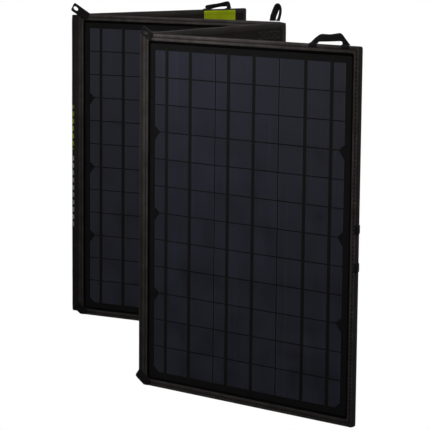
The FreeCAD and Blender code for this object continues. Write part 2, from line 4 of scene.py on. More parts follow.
import bmesh
import bpy
from mathutils import Matrix, Vector, noise
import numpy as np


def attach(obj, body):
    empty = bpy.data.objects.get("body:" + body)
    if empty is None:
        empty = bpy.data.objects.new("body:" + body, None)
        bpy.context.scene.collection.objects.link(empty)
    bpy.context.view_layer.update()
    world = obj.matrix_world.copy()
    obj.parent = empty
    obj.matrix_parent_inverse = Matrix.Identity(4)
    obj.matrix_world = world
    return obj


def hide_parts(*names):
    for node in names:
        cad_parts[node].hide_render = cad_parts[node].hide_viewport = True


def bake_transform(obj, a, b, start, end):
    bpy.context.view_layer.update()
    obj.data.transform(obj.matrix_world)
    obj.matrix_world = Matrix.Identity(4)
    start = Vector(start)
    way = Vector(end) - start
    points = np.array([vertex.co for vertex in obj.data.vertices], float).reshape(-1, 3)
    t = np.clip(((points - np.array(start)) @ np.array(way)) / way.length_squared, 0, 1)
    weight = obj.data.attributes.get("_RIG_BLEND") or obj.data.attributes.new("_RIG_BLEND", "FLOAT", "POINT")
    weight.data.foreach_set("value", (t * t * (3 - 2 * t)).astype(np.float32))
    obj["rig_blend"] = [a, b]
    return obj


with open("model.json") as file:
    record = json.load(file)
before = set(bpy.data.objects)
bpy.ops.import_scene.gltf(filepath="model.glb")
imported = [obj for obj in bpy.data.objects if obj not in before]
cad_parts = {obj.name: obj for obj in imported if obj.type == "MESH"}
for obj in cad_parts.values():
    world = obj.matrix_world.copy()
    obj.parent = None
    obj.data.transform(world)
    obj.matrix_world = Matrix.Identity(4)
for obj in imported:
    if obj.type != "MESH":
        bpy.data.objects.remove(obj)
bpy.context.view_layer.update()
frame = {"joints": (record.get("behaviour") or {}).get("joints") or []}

bl_info = {
    "name": "Folding Solar Kit",
    "version": (1, 0, 0),
    "blender": (4, 5, 0),
    "location": "View3D > Sidebar > Solar Kit",
    "description": "Builds the fabric, webbing and finishes of a folding solar kit",
    "category": "Add Mesh",
}

MM = 0.001
TINY = 1e-9
PANELS = (1, 2, 3, 4)

# a panel's outline, its depths from the middle plane, and its window's border
WIDTH = 0.377
HEIGHT = 0.508
CORNER = 0.003
FACE = 0.0037
COVER = 0.0008
LAMINATE_TOP = 0.0021
COVER_TOP = COVER - FACE
BORDER_SIDE = 0.010
BORDER_TOP = 0.0105
BORDER_BOTTOM = 0.011
WINDOW_CORNER = 0.0028

# the cells' grid
CELL_LEFT = 0.02095
CELL_BOTTOM = 0.02205
CELL_PITCH_X = 0.1117
CELL_PITCH_Z = 0.0387

# the folds: distance of each line from its panels, the side that it lies on,
# and how far its spine stands out
EDGE_TO_FOLD = 0.0006
FOLD_OFFSET = {"12": 0.0013, "23": 0.0010, "34": 0.0042}
FOLD_SIDE = {"12": -1, "23": 1, "34": -1}
SPINE_BULGE = {"12": 0.0009, "23": 0.0009, "34": 0.0046}

# the handles on top of the first and fourth panels
HINGE_Z = 0.5095
STRAP_FOOT_Z = HINGE_Z - 0.6 * MM
HANDLE_LENGTH = 0.066
HANDLE_1_X = 0.017
HANDLE_4_X = WIDTH - 0.032 - HANDLE_LENGTH
HANDLE_4_HEIGHT = 0.0110
HANDLE_4_LEAN = 28.0
HANDLE_FOOT = 0.013
HANDLE_BAND = 0.0095

# ---- where each panel stands --------------------------------------------

JOINTS = {joint["name"]: joint for joint in frame["joints"]}
WEDGES = {fold: -JOINTS[f"fold_{fold}"]["range_deg"][0] for fold in FOLD_SIDE}
FOLD_LINES = {fold: Vector(JOINTS[f"fold_{fold}"]["pos_m"]) for fold in FOLD_SIDE}
FIRST_HEADING = 140.0


def headings():
    """The direction of each panel's bottom edge, in degrees."""
    found = [FIRST_HEADING]
    for fold, side in FOLD_SIDE.items():
        found.append(found[-1] + side * (180.0 - WEDGES[fold]))
    return found


def panel_matrix(number):
    heading = math.radians(HEADINGS[number - 1])
    fold = "12" if number < 3 else ("23" if number == 3 else "34")
    line = FOLD_LINES[fold].copy()
    line.z = 0.0
    turn = Matrix.Rotation(heading, 4, "Z")
    depth = FOLD_SIDE[fold] * (FACE + FOLD_OFFSET[fold])
    start = WIDTH + EDGE_TO_FOLD if number == 1 else -EDGE_TO_FOLD
    return Matrix.Translation(line - turn.to_3x3() @ Vector((start, depth, 0.0))) @ turn


HEADINGS = headings()
PLACE = {number: panel_matrix(number) for number in PANELS}


# ---- small helpers for the mesh work ------------------------------------

STITCH_BATCH = 24


def wander(x, z, size, seed=0.0):
    """A soft repeatable unevenness between -1 and 1."""
    return noise.noise(Vector((x / size, z / size, seed * 7.31)))


def finish_mesh(bm, name, material, matrix=None, smooth=True):
    """Turn a bmesh into an object whose place is in its mesh."""
    bmesh.ops.recalc_face_normals(bm, faces=bm.faces[:])
    if matrix is not None:
        bmesh.ops.transform(bm, matrix=matrix, verts=bm.verts[:])
    for face in bm.faces:
        face.smooth = smooth
    mesh = bpy.data.meshes.new(name)
    bm.to_mesh(mesh)
    bm.free()
    piece = bpy.data.objects.new(name, mesh)
    bpy.context.scene.collection.objects.link(piece)
    materials = material if isinstance(material, (list, tuple)) else [material]
    for each in materials:
        mesh.materials.append(each)
    return piece


def settle(piece, body, slot_name, *nodes):
    """Say what the piece rides on, and hide the nodes it stands for; slot_name, the finish's name, is not
    used.
    """
    if body:
        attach(piece, body)
    if nodes:
        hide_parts(*nodes)
    return piece


def wear_and_highlight_layer(bm):
    """How light each vertex is painted, which the fabrics read as ridge: wear, with painted highlight on
    raised parts and painted shade in hollows.
    """
    layers = bm.verts.layers.float
    return layers.get("ridge") or layers.new("ridge")


def run_layer(bm):
    """Where each vertex lies across and along its strap."""
    layers = bm.verts.layers.float_vector
    return layers.get("strap") or layers.new("strap")


def walk_round(verts):
    """The vertices of a closed loop of edges, in order."""
    row, seen = [verts[0]], {verts[0]}
    while len(row) < len(verts):
        here = row[-1]
        after = next(e.other_vert(here) for e in here.link_edges
                     if e.other_vert(here) not in seen)
        row.append(after)
        seen.add(after)
    return row


def sweep_rings(bm, rings, closed_ring=True, close_ends=False, first_to_last=False,
                ridge=None, material=None):
    """Extrude a ring of edges from place to place; the lists have equal lengths.

    ridge says how light each ring is painted, for wear and painted highlight,
    and material is the material's number for the faces that follow each ring.
    """
    layer = wear_and_highlight_layer(bm)
    count = len(rings[0])
    if closed_ring:
        made = bmesh.ops.create_circle(bm, cap_ends=False, radius=1.0, segments=count)
        verts = walk_round(made["verts"])
    else:
        verts = [bm.verts.new((k, 0.0, 0.0)) for k in range(count)]
        for a, b in zip(verts, verts[1:]):
            bm.edges.new((a, b))
    every = [verts]
    for _ in rings[1:]:
        edges = []
        for k in range(count if closed_ring else count - 1):
            pair = (verts[k], verts[(k + 1) % count])
            edges.append(bm.edges.get(pair))
        made = bmesh.ops.extrude_edge_only(bm, edges=edges)
        fresh = {v for v in made["geom"] if isinstance(v, bmesh.types.BMVert)}
        following = []
        for v in verts:
            following.append(next(e.other_vert(v) for e in v.link_edges
                                  if e.other_vert(v) in fresh))
        verts = following
        every.append(verts)
    for index, (row, places) in enumerate(zip(every, rings)):
        for v, place in zip(row, places):
            v.co = place
            v[layer] = ridge[index] if ridge else 0.0
    if first_to_last:
        loops = []
        for row in (every[-1], every[0]):
            for k in range(count if closed_ring else count - 1):
                loops.append(bm.edges.get((row[k], row[(k + 1) % count])))
        bmesh.ops.bridge_loops(bm, edges=loops)
    if close_ends:
        bm.faces.new(list(reversed(every[0])))
        bm.faces.new(every[-1])
    if material:
        ring_of = {v: index for index, row in enumerate(every) for v in row}
        for face in bm.faces:
            face.material_index = material[min(ring_of[v] for v in face.verts)]
    return every


def rounded_ring(x0, x1, z0, z1, radius, across=44, up=60, arc=5):
    """Points round an upright rounded rectangle, as (x, z)."""
    corners = ((x1 - radius, z0 + radius, -90.0), (x1 - radius, z1 - radius, 0.0),
               (x0 + radius, z1 - radius, 90.0), (x0 + radius, z0 + radius, 180.0))
    arcs = []
    for cx, cz, start in corners:
        bend = []
        for k in range(arc + 1):
            angle = math.radians(start + 90.0 * k / arc)
            bend.append((cx + radius * math.cos(angle), cz + radius * math.sin(angle)))
        arcs.append(bend)
    points = []
    for k, bend in enumerate(arcs):
        points += bend
        straight = up if k % 2 == 0 else across
        (xa, za), (xb, zb) = bend[-1], arcs[(k + 1) % 4][0]
        for step in range(1, straight):
            share = step / straight
            points.append((xa + (xb - xa) * share, za + (zb - za) * share))
    return points


def mix_ring(outer, inner, share):
    """A ring between two rings of the same length."""
    return [(xa + (xb - xa) * share, za + (zb - za) * share)
            for (xa, za), (xb, zb) in zip(outer, inner)]


def sew(bm, matrices, material):
    """Add a stitch at each matrix, a few at a time so that it stays quick."""
    for first in range(0, len(matrices), STITCH_BATCH):
        batch = bmesh.new()
        for put in matrices[first:first + STITCH_BATCH]:
            bmesh.ops.create_uvsphere(batch, u_segments=6, v_segments=4, radius=1.0,
                                      matrix=put)
        for face in batch.faces:
            face.material_index = material
        mesh = bpy.data.meshes.new("stitches")
        batch.to_mesh(mesh)
        batch.free()
        bm.from_mesh(mesh)
        bpy.data.meshes.remove(mesh)


def stitch_along(bm, points, pitch, length, radius, height, closed=True,
                 skew=0.0, material=0):
    """Lay a row of short thread stitches along (x, z) points at a height in y."""
    places = [Vector((x, 0.0, z)) for x, z in points]
    if closed:
        places.append(places[0])
    spans = [(b - a).length for a, b in zip(places, places[1:])]
    total = sum(spans)
    count = max(int(total / pitch), 1)
    stitches, walked, span = [], 0.0, 0
    for k in range(count):
        wanted = (k + 0.5) * total / count
        while span < len(spans) - 1 and walked + spans[span] < wanted:
            walked += spans[span]
            span += 1
        share = (wanted - walked) / max(spans[span], TINY)
        at = places[span].lerp(places[span + 1], share)
        way = places[span + 1] - places[span]
        angle = math.atan2(way.z, way.x) + skew
        stitches.append(Matrix.Translation((at.x, height, at.z))
                        @ Matrix.Rotation(-angle, 4, "Y")
                        @ Matrix.Diagonal((length / 2, radius, radius, 1.0)))
    sew(bm, stitches, material)


# ---- materials -----------------------------------------------------------

SHEEN_ROUGHNESS = 0.45
COAT_ROUGHNESS = 0.22
# most of a noise's values lie between these
NOISE_LOW, NOISE_HIGH = 0.3, 0.7

CELL_DARK = (0.0022, 0.0026, 0.0085)
CELL_LIGHT = (0.0050, 0.0056, 0.0140)
CELL_CLOUD = (0.0085, 0.0105, 0.0280)
CELL_STREAK = (0.0090, 0.0096, 0.0170)
# the finger colour, also used for the painted rim highlight and glints
CELL_FINGER_AND_HIGHLIGHT = (0.045, 0.048, 0.066)
# the width of the painted highlight on a cell's rim, and the painted glints at shares of its width
CELL_RIM = 0.0018
GLINT_LINES = (0.36, 0.50, 0.64, 0.86, 0.14)
GLINT_HALF_WIDTH = CELL_RIM * 0.4
FINGER_PITCH = 0.0016
LAMINATE_DARK = (0.0035, 0.0034, 0.0036)
LAMINATE_LIGHT = (0.0085, 0.0080, 0.0080)
RIBBON_DARK = (0.0040, 0.0044, 0.0034)
RIBBON_LIGHT = (0.0110, 0.0115, 0.0090)
# the painted shadow line at the window's inner edge
SHADOW_GAP_DARK = (0.0030, 0.0028, 0.0028)
SHADOW_GAP_LIGHT = (0.0060, 0.0055, 0.0050)

# moulded finishes: dark colour, light colour, roughness and other settings
MOULDED_FINISHES = {
    "stiffening_board": ((0.10, 0.075, 0.045), (0.16, 0.12, 0.075), 0.8,
                         {"scale": 200.0, "number": 0}),
    "potting_cap": ((0.010, 0.010, 0.010), (0.022, 0.021, 0.020), 0.4,
                    {"coat": 0.2, "number": 0}),
    "flat_lead": ((0.012, 0.012, 0.012), (0.03, 0.03, 0.03), 0.55, {"number": 0}),
    "box_moulding": ((0.012, 0.012, 0.0125), (0.030, 0.030, 0.031), 0.5, {}),
    "screw_steel": ((0.35, 0.34, 0.32), (0.62, 0.61, 0.59), 0.32,
                    {"metallic": 1.0, "strength": 0.15}),
    "gland_rubber": ((0.010, 0.010, 0.010), (0.024, 0.023, 0.022), 0.7, {}),
    "terminal_laminate": ((0.015, 0.07, 0.03), (0.03, 0.12, 0.05), 0.45,
                          {"coat": 0.3}),
}


def new_material(name, colour, roughness, sheen=0.0, coat=0.0, metallic=0.0,
                 specular=0.5):
    """A material with the values that are the same all over it."""
    material = bpy.data.materials.new(name)
    material.use_nodes = True
    tree = material.node_tree
    shader = tree.nodes["Principled BSDF"]
    shader.inputs["Base Color"].default_value = (*colour, 1.0)
    shader.inputs["Roughness"].default_value = roughness
    shader.inputs["Metallic"].default_value = metallic
    shader.inputs["Specular IOR Level"].default_value = specular
    shader.inputs["Sheen Weight"].default_value = sheen
    shader.inputs["Sheen Roughness"].default_value = SHEEN_ROUGHNESS
    shader.inputs["Coat Weight"].default_value = coat
    shader.inputs["Coat Roughness"].default_value = COAT_ROUGHNESS
    return material, tree, shader


def node(tree, kind, inputs=None, **settings):
    """One node, with its settings and the values or links of its inputs."""
    made = tree.nodes.new(kind)
    for key, value in settings.items():
        setattr(made, key, value)
    for key, value in (inputs or {}).items():
        if isinstance(value, bpy.types.NodeSocket):
            tree.links.new(value, made.inputs[key])
        else:
            made.inputs[key].default_value = value
    return made


def maths(tree, operation, a, b=0.0):
    """A sum on one or two values."""
    return node(tree, "ShaderNodeMath", {0: a, 1: b}, operation=operation).outputs[0]


def panel_coordinates(tree, number):
    """Object coordinates brought into a panel's own frame, in metres."""
    source = node(tree, "ShaderNodeTexCoord").outputs["Object"]
    if not number:
        return source
    back = PLACE[number].inverted()
    turn = node(tree, "ShaderNodeMapping", {
        "Vector": source,
        "Location": back.to_translation(),
        "Rotation": (0.0, 0.0, -math.radians(HEADINGS[number - 1])),
    })
    return turn.outputs[0]


def blotch(tree, where, scale, detail=3.0, rough=0.55):
    """Soft noise between 0 and 1."""
    made = node(tree, "ShaderNodeTexNoise", {
        "Vector": where, "Scale": scale, "Detail": detail, "Roughness": rough})
    return made.outputs["Fac"]


def bands(tree, where, direction, pitch, distortion=0.0):
    """Fine parallel bands, one each pitch of metres."""
    made = node(tree, "ShaderNodeTexWave", {
        "Vector": where, "Scale": math.pi / (10.0 * pitch),
        "Distortion": distortion, "Detail": 1.0}, bands_direction=direction)
    return made.outputs["Fac"]


def stretch(tree, value, low, high, to_low, to_high):
    """Map a range of values onto another."""
    made = node(tree, "ShaderNodeMapRange", {
        "Value": value, "From Min": low, "From Max": high,
        "To Min": to_low, "To Max": to_high})
    return made.outputs[0]


def noise_range(tree, value, to_low, to_high):
    """Map most of a noise's values onto a range."""
    return stretch(tree, value, NOISE_LOW, NOISE_HIGH, to_low, to_high)


def blend_colours(tree, share, first, second):
    """A colour between two, by share."""
    made = tree.nodes.new("ShaderNodeMix")
    made.data_type = "RGBA"
    for socket, value in ((made.inputs[0], share), (made.inputs[6], first),
                          (made.inputs[7], second)):
        if isinstance(value, bpy.types.NodeSocket):
            tree.links.new(value, socket)
        else:
            socket.default_value = value if isinstance(value, float) else (*value, 1.0)
    return made.outputs[2]


def bump(tree, shader, height, strength, distance):
    """Relief from a height."""
    made = node(tree, "ShaderNodeBump", {
        "Height": height, "Strength": strength, "Distance": distance})
    tree.links.new(made.outputs[0], shader.inputs["Normal"])


def fabric(name, number, dark, light, pitch=0.0006, sheen=0.04, roughness=0.85):
    """Woven nylon: two crossed sets of threads, blotches, and ridges lighter from wear and painted
    highlight.
    """
    material, tree, shader = new_material(name, dark, roughness, sheen=sheen,
                                          specular=0.04)
    where = panel_coordinates(tree, number)
    warp = bands(tree, where, "X", pitch, distortion=0.4)
    weft = bands(tree, where, "Z", pitch, distortion=0.4)
    weave = maths(tree, "MULTIPLY", warp, weft)
    wear_and_highlight = node(tree, "ShaderNodeAttribute", attribute_name="ridge").outputs["Fac"]
    patches = blotch(tree, where, scale=55.0, detail=4.0)
    fibres = blotch(tree, where, scale=900.0, detail=2.0)
    # ridges painted lighter and hollows darker: wear, with painted highlight and painted shade
    share = maths(tree, "MULTIPLY", wear_and_highlight, noise_range(tree, patches, 0.55, 1.0))
    share = maths(tree, "ADD", share, stretch(tree, fibres, 0.35, 0.65, -0.08, 0.08))
    tone = blend_colours(tree, share, dark, light)
    shade = noise_range(tree, blotch(tree, where, scale=14.0, detail=2.0), 0.82, 1.15)
    shade = maths(tree, "MULTIPLY", shade, stretch(tree, weave, 0.0, 1.0, 0.8, 1.15))
    mixed = node(tree, "ShaderNodeVectorMath", {0: tone, "Scale": shade},
                 operation="SCALE")
    tree.links.new(mixed.outputs[0], shader.inputs["Base Color"])
    gloss = noise_range(tree, patches, roughness - 0.1, min(roughness + 0.1, 1.0))
    tree.links.new(gloss, shader.inputs["Roughness"])
    height = maths(tree, "ADD", weave, maths(tree, "MULTIPLY", patches, 0.8))
    bump(tree, shader, height, strength=0.5, distance=0.0003)
    return material


def webbing(name, dark, light):
    """Ribbed strap: ribs follow the strap's own run, kept in an attribute."""
    material, tree, shader = new_material(name, dark, 0.75, specular=0.06)
    along = node(tree, "ShaderNodeAttribute", attribute_name="strap").outputs["Vector"]
    wear_and_highlight = node(tree, "ShaderNodeAttribute", attribute_name="ridge").outputs["Fac"]
    ribs = bands(tree, along, "X", pitch=0.0011, distortion=0.5)
    picks = bands(tree, along, "Y", pitch=0.0008, distortion=0.6)
    weave = maths(tree, "ADD", maths(tree, "MULTIPLY", ribs, 0.65),
                  maths(tree, "MULTIPLY", picks, 0.35))
    patches = blotch(tree, panel_coordinates(tree, 0), scale=130.0)
    share = maths(tree, "MULTIPLY", weave, noise_range(tree, patches, 0.45, 1.0))
    # a little lighter where the strap's edges and rims stand out: wear and painted highlight
    share = maths(tree, "ADD", share, maths(tree, "MULTIPLY", wear_and_highlight, 0.25))
    tone = blend_colours(tree, share, dark, light)
    tree.links.new(tone, shader.inputs["Base Color"])
    bump(tree, shader, weave, strength=0.8, distance=0.0004)
    return material


def thread(name, colour):
    """Twisted sewing thread."""
    material, tree, shader = new_material(name, colour, 0.6, specular=0.15)
    where = panel_coordinates(tree, 0)
    twist = bands(tree, where, "DIAGONAL", pitch=0.0009, distortion=1.0)
    tone = blend_colours(tree, twist, tuple(c * 0.55 for c in colour), colour)
    tree.links.new(tone, shader.inputs["Base Color"])
    bump(tree, shader, twist, strength=0.5, distance=0.0002)
    return material


def cell_glass(name, number):
    """Cells under a satin film: each its own tone, with fine finger lines, a painted highlight on each
    cell's rim and painted glints across it.
    """
    material, tree, shader = new_material(name, CELL_LIGHT, 0.42, specular=0.46)
    where = panel_coordinates(tree, number)
    split = node(tree, "ShaderNodeSeparateXYZ", {0: where})
    columns = maths(tree, "DIVIDE", maths(
        tree, "SUBTRACT", split.outputs[0], CELL_LEFT), CELL_PITCH_X)
    rows = maths(tree, "DIVIDE", maths(
        tree, "SUBTRACT", split.outputs[2], CELL_BOTTOM), CELL_PITCH_Z)
    index = node(tree, "ShaderNodeCombineXYZ", {
        0: maths(tree, "FLOOR", columns), 1: maths(tree, "FLOOR", rows),
        2: float(number)})
    tone = node(tree, "ShaderNodeTexWhiteNoise", {"Vector": index.outputs[0]},
                noise_dimensions="3D").outputs["Value"]
    cloud = blotch(tree, where, scale=26.0, detail=3.0)
    fingers = bands(tree, where, "Z", FINGER_PITCH)
    thin = stretch(tree, fingers, 0.86, 1.0, 0.0, 1.0)
    drawn = node(tree, "ShaderNodeMapping", {"Vector": where,
                                             "Scale": (160.0, 1.0, 5.0)})
    streaks = blotch(tree, drawn.outputs[0], scale=1.0, detail=2.0)
    streaks = stretch(tree, streaks, 0.45, 0.75, 0.0, 0.5)
    across = maths(tree, "MULTIPLY", CELL_PITCH_X, maths(tree, "FRACT", columns))
    # painted highlight along each cell's rim, and painted glints on its busbars
    painted_highlight = maths(tree, "ADD", maths(tree, "LESS_THAN", across, CELL_RIM),
                maths(tree, "GREATER_THAN", across, CELL_PITCH_X - CELL_RIM))
    for share in GLINT_LINES:
        off = maths(tree, "ABSOLUTE", maths(
            tree, "SUBTRACT", across, CELL_PITCH_X * share))
        glint = maths(tree, "LESS_THAN", off, GLINT_HALF_WIDTH)
        painted_highlight = maths(tree, "ADD", painted_highlight, maths(tree, "MULTIPLY", streaks, glint))
    base = blend_colours(tree, tone, CELL_DARK, CELL_LIGHT)
    base = blend_colours(tree, noise_range(tree, cloud, 0.0, 0.35), base,
                         CELL_CLOUD)
    base = blend_colours(tree, streaks, base, CELL_STREAK)
    base = blend_colours(tree, maths(tree, "MULTIPLY", thin, 0.3), base, CELL_FINGER_AND_HIGHLIGHT)
    base = blend_colours(tree, maths(tree, "MULTIPLY", painted_highlight, 0.6), base, CELL_FINGER_AND_HIGHLIGHT)
    tree.links.new(base, shader.inputs["Base Color"])
    gloss = noise_range(tree, cloud, 0.36, 0.5)
    tree.links.new(gloss, shader.inputs["Roughness"])
    dimples = node(tree, "ShaderNodeTexVoronoi", {"Vector": where, "Scale": 650.0})
    fine = maths(tree, "MULTIPLY", dimples.outputs["Distance"], 0.5)
    ripple = maths(tree, "ADD", fine, maths(tree, "MULTIPLY", cloud, 1.5))
    bump(tree, shader, ripple, strength=0.25, distance=0.0002)
    return material


def laminate_film(name, number):
    """The dark backing sheet that shows round and between the cells."""
    material, tree, shader = new_material(name, LAMINATE_DARK, 0.5, specular=0.09)
    where = panel_coordinates(tree, number)
    cloud = blotch(tree, where, scale=40.0, detail=4.0)
    specks = blotch(tree, where, scale=700.0, detail=2.0)
    tone = blend_colours(tree, cloud, LAMINATE_DARK, LAMINATE_LIGHT)
    tree.links.new(tone, shader.inputs["Base Color"])
    gloss = noise_range(tree, specks, 0.42, 0.58)
    tree.links.new(gloss, shader.inputs["Roughness"])
    dimples = node(tree, "ShaderNodeTexVoronoi", {"Vector": where, "Scale": 650.0})
    height = maths(tree, "ADD", dimples.outputs["Distance"], cloud)
    bump(tree, shader, height, strength=0.3, distance=0.0002)
    return material


def ribbon_foil(name, number):
    """Darkened tabbing foil, brushed along its length."""
    material, tree, shader = new_material(name, RIBBON_DARK, 0.45, specular=0.10)
    where = panel_coordinates(tree, number)
    drawn = node(tree, "ShaderNodeMapping", {"Vector": where,
                                             "Scale": (2600.0, 1.0, 30.0)})
    streaks = blotch(tree, drawn.outputs[0], scale=1.0, detail=3.0)
    tone = blend_colours(tree, streaks, RIBBON_DARK, RIBBON_LIGHT)
    tree.links.new(tone, shader.inputs["Base Color"])
    gloss = noise_range(tree, streaks, 0.38, 0.55)
    tree.links.new(gloss, shader.inputs["Roughness"])
    bump(tree, shader, streaks, strength=0.15, distance=0.0001)
    return material


def moulded(name, dark, light, roughness, scale=420.0, coat=0.0, metallic=0.0,
            strength=0.35, number=4):
    """Moulded or cast surface with a fine grain and faint handling marks."""
    material, tree, shader = new_material(name, dark, roughness, coat=coat,
                                          metallic=metallic)
    where = panel_coordinates(tree, number)
    grain = blotch(tree, where, scale=scale * 3.0, detail=3.0)
    marks = blotch(tree, where, scale=scale / 12.0, detail=5.0, rough=0.65)
    tone = blend_colours(tree, marks, dark, light)
    tree.links.new(tone, shader.inputs["Base Color"])
    gloss = noise_range(tree, marks, roughness - 0.08, min(roughness + 0.1, 1.0))
    tree.links.new(gloss, shader.inputs["Roughness"])
    height = maths(tree, "ADD", grain, maths(tree, "MULTIPLY", marks, 0.4))
    bump(tree, shader, height, strength=strength, distance=0.0002)
    return material


STORE = {}


def kept(name, maker, *values, **options):
    """A material made once and used wherever it is named."""
    if name not in STORE:
        STORE[name] = maker(name, *values, **options)
    return STORE[name]


def settings():
    return bpy.context.scene.solar_kit


def border_cloth(number):
    """The fabric of a panel's border and edge band."""
    chosen = settings()
    return kept(f"border_cloth_{number}", fabric, number,
                tuple(chosen.border_dark), tuple(chosen.border_light))


def shadow_gap_cloth(number):
    """The dark flange at a panel's window edge: a painted shadow line."""
    return kept(f"window_gap_{number}", fabric, number, SHADOW_GAP_DARK, SHADOW_GAP_LIGHT,
                sheen=0.0, roughness=0.9)


def back_cloth(number):
    """The fabric of a panel's back cover."""
    chosen = settings()
    return kept(f"back_cloth_{number}", fabric, number,
                tuple(chosen.back_dark), tuple(chosen.back_light))


def strap_cloth():
    """The webbing of the handles, loops and tabs."""
    chosen = settings()
    return kept("strap_webbing", webbing, tuple(chosen.strap_dark),
                tuple(chosen.strap_light))


def sewing_thread():
    """The thread of the seams."""
    return kept("sewing_thread", thread, tuple(settings().thread_colour))


def box_thread():
    """The thread of the crossed boxes over strap ends."""
    return kept("box_thread", thread, tuple(settings().box_thread_colour))


def moulded_finish(name):
    """One of the moulded or cast finishes."""
    dark, light, roughness, options = MOULDED_FINISHES[name]
    return kept(name, moulded, dark, light, roughness, **options)


# ---- the settings a user would change -----------------------------------

class SolarKitSettings(bpy.types.PropertyGroup):
    stitch_pitch: bpy.props.FloatProperty(
        name="Stitch Pitch", description="Distance from one stitch to the next",
        default=0.0056, min=0.002, unit="LENGTH")
    stitch_length: bpy.props.FloatProperty(
        name="Stitch Length", description="Length of one stitch that shows",
        default=0.0034, min=0.001, unit="LENGTH")
    thread_radius: bpy.props.FloatProperty(
        name="Thread Radius", description="Radius of the sewing thread",
        default=0.00095, min=0.0001, unit="LENGTH")
    ridge_height: bpy.props.FloatProperty(
        name="Ridge Height", description="How far the border's folds stand up",
        default=0.0016, min=0.0005, unit="LENGTH")
    wrinkle: bpy.props.FloatProperty(
        name="Wrinkle", description="Depth of the back cover's soft wrinkles",
        default=0.00035, min=0.0, unit="LENGTH")
    # border_dark is the painted shade in the border's folds, and border_light the ridges' wear with painted
    # highlight
    border_dark: bpy.props.FloatVectorProperty(
        name="Border Dark", description="Border fabric in its folds",
        default=(0.012, 0.0100, 0.0100), subtype="COLOR")
    border_light: bpy.props.FloatVectorProperty(
        name="Border Light", description="Border fabric on its worn ridges",
        default=(0.105, 0.092, 0.089), subtype="COLOR")
    back_dark: bpy.props.FloatVectorProperty(
        name="Back Dark", description="Back cover fabric",
        default=(0.022, 0.018, 0.017), subtype="COLOR")
    # back_light is the hem's wear with painted highlight on its raise
    back_light: bpy.props.FloatVectorProperty(
        name="Back Light", description="Back cover fabric on its hem",
        default=(0.070, 0.062, 0.060), subtype="COLOR")
    strap_dark: bpy.props.FloatVectorProperty(
        name="Strap Dark", description="Webbing between its ribs",
        default=(0.0060, 0.0054, 0.0052), subtype="COLOR")
    strap_light: bpy.props.FloatVectorProperty(
        name="Strap Light", description="Webbing on its ribs",
        default=(0.026, 0.0235, 0.023), subtype="COLOR")
    thread_colour: bpy.props.FloatVectorProperty(
        name="Thread", description="Sewing thread",
        default=(0.0045, 0.0036, 0.0036), subtype="COLOR")
    box_thread_colour: bpy.props.FloatVectorProperty(
        name="Box Thread", description="Thread of the crossed boxes over strap ends",
        default=(0.045, 0.041, 0.040), subtype="COLOR")
    label_colour: bpy.props.FloatVectorProperty(
        name="Label", description="Woven label",
        default=(0.62, 0.76, 0.012), subtype="COLOR")


# ---- borders, covers and gussets -----------------------------------------

# the border's section: share of the way to the window, share of the ridge's
# height, and how light the fabric is painted there: wear with painted highlight on the ridges, painted shade
# in the channel and at the foot
BORDER_SECTION = (
    (0.00, 0.00, 0.2), (0.00, 0.50, 0.5), (0.02, 0.80, 0.8), (0.07, 0.98, 1.0),
    (0.15, 1.03, 1.0), (0.24, 0.98, 1.0), (0.31, 0.86, 0.9), (0.36, 0.72, 0.8),
    (0.42, 0.68, 0.7), (0.48, 0.72, 0.8), (0.54, 0.88, 0.9), (0.60, 1.00, 1.0),
    (0.70, 1.04, 1.0), (0.80, 0.98, 0.9), (0.87, 0.75, 0.5), (0.91, 0.40, 0.1),
    (0.93, 0.16, 0.0), (1.10, 0.13, 0.0), (1.24, 0.10, 0.0), (1.24, 0.00, 0.0),
)
# the stitches lie in the channel, and the painted shadow at the window's edge starts at a ring
STITCH_SHARE = 0.42
STITCH_RISE = 0.68
SHADOW_GAP_FROM = 15
# material numbers: of a border, and of the thread on every other sewn piece
CLOTH, SHADOW_GAP, BORDER_SEAM = 0, 1, 2
SEAM, BOX_SEAM = 1, 2

# a cover's raised hem
HEM_WIDTH = 0.0095
HEM_START = 0.0022
HEM_RISE = 0.55 * MM
HEM_SEAM = 0.0088
COVER_THICK = 0.7 * MM
# boxes of stitches over strap ends on the second cover
BOX_LEFT_EDGES = (0.300, 0.334)
BOX_WIDTH = 0.028
BOX_LOW, BOX_HIGH = 0.4845, 0.4955

# an edge band from the back to the front: depth, and how far it stands out in mm
BAND_SECTION = (
    (COVER_TOP, 0.0), (COVER_TOP + 0.6 * MM, 0.22), (-1.2 * MM, 0.30),
    (-0.4 * MM, 0.05), (0.4 * MM, 0.28), (1.5 * MM, 0.22), (LAMINATE_TOP, 0.0),
)
BAND_THICK = 0.0012
GROUND = 0.0005


def panel_ring(inset=0.0, **counts):
    """The panel's outline, moved in by an inset."""
    return rounded_ring(inset, WIDTH - inset, inset, HEIGHT - inset,
                        max(CORNER - inset, 0.001), **counts)


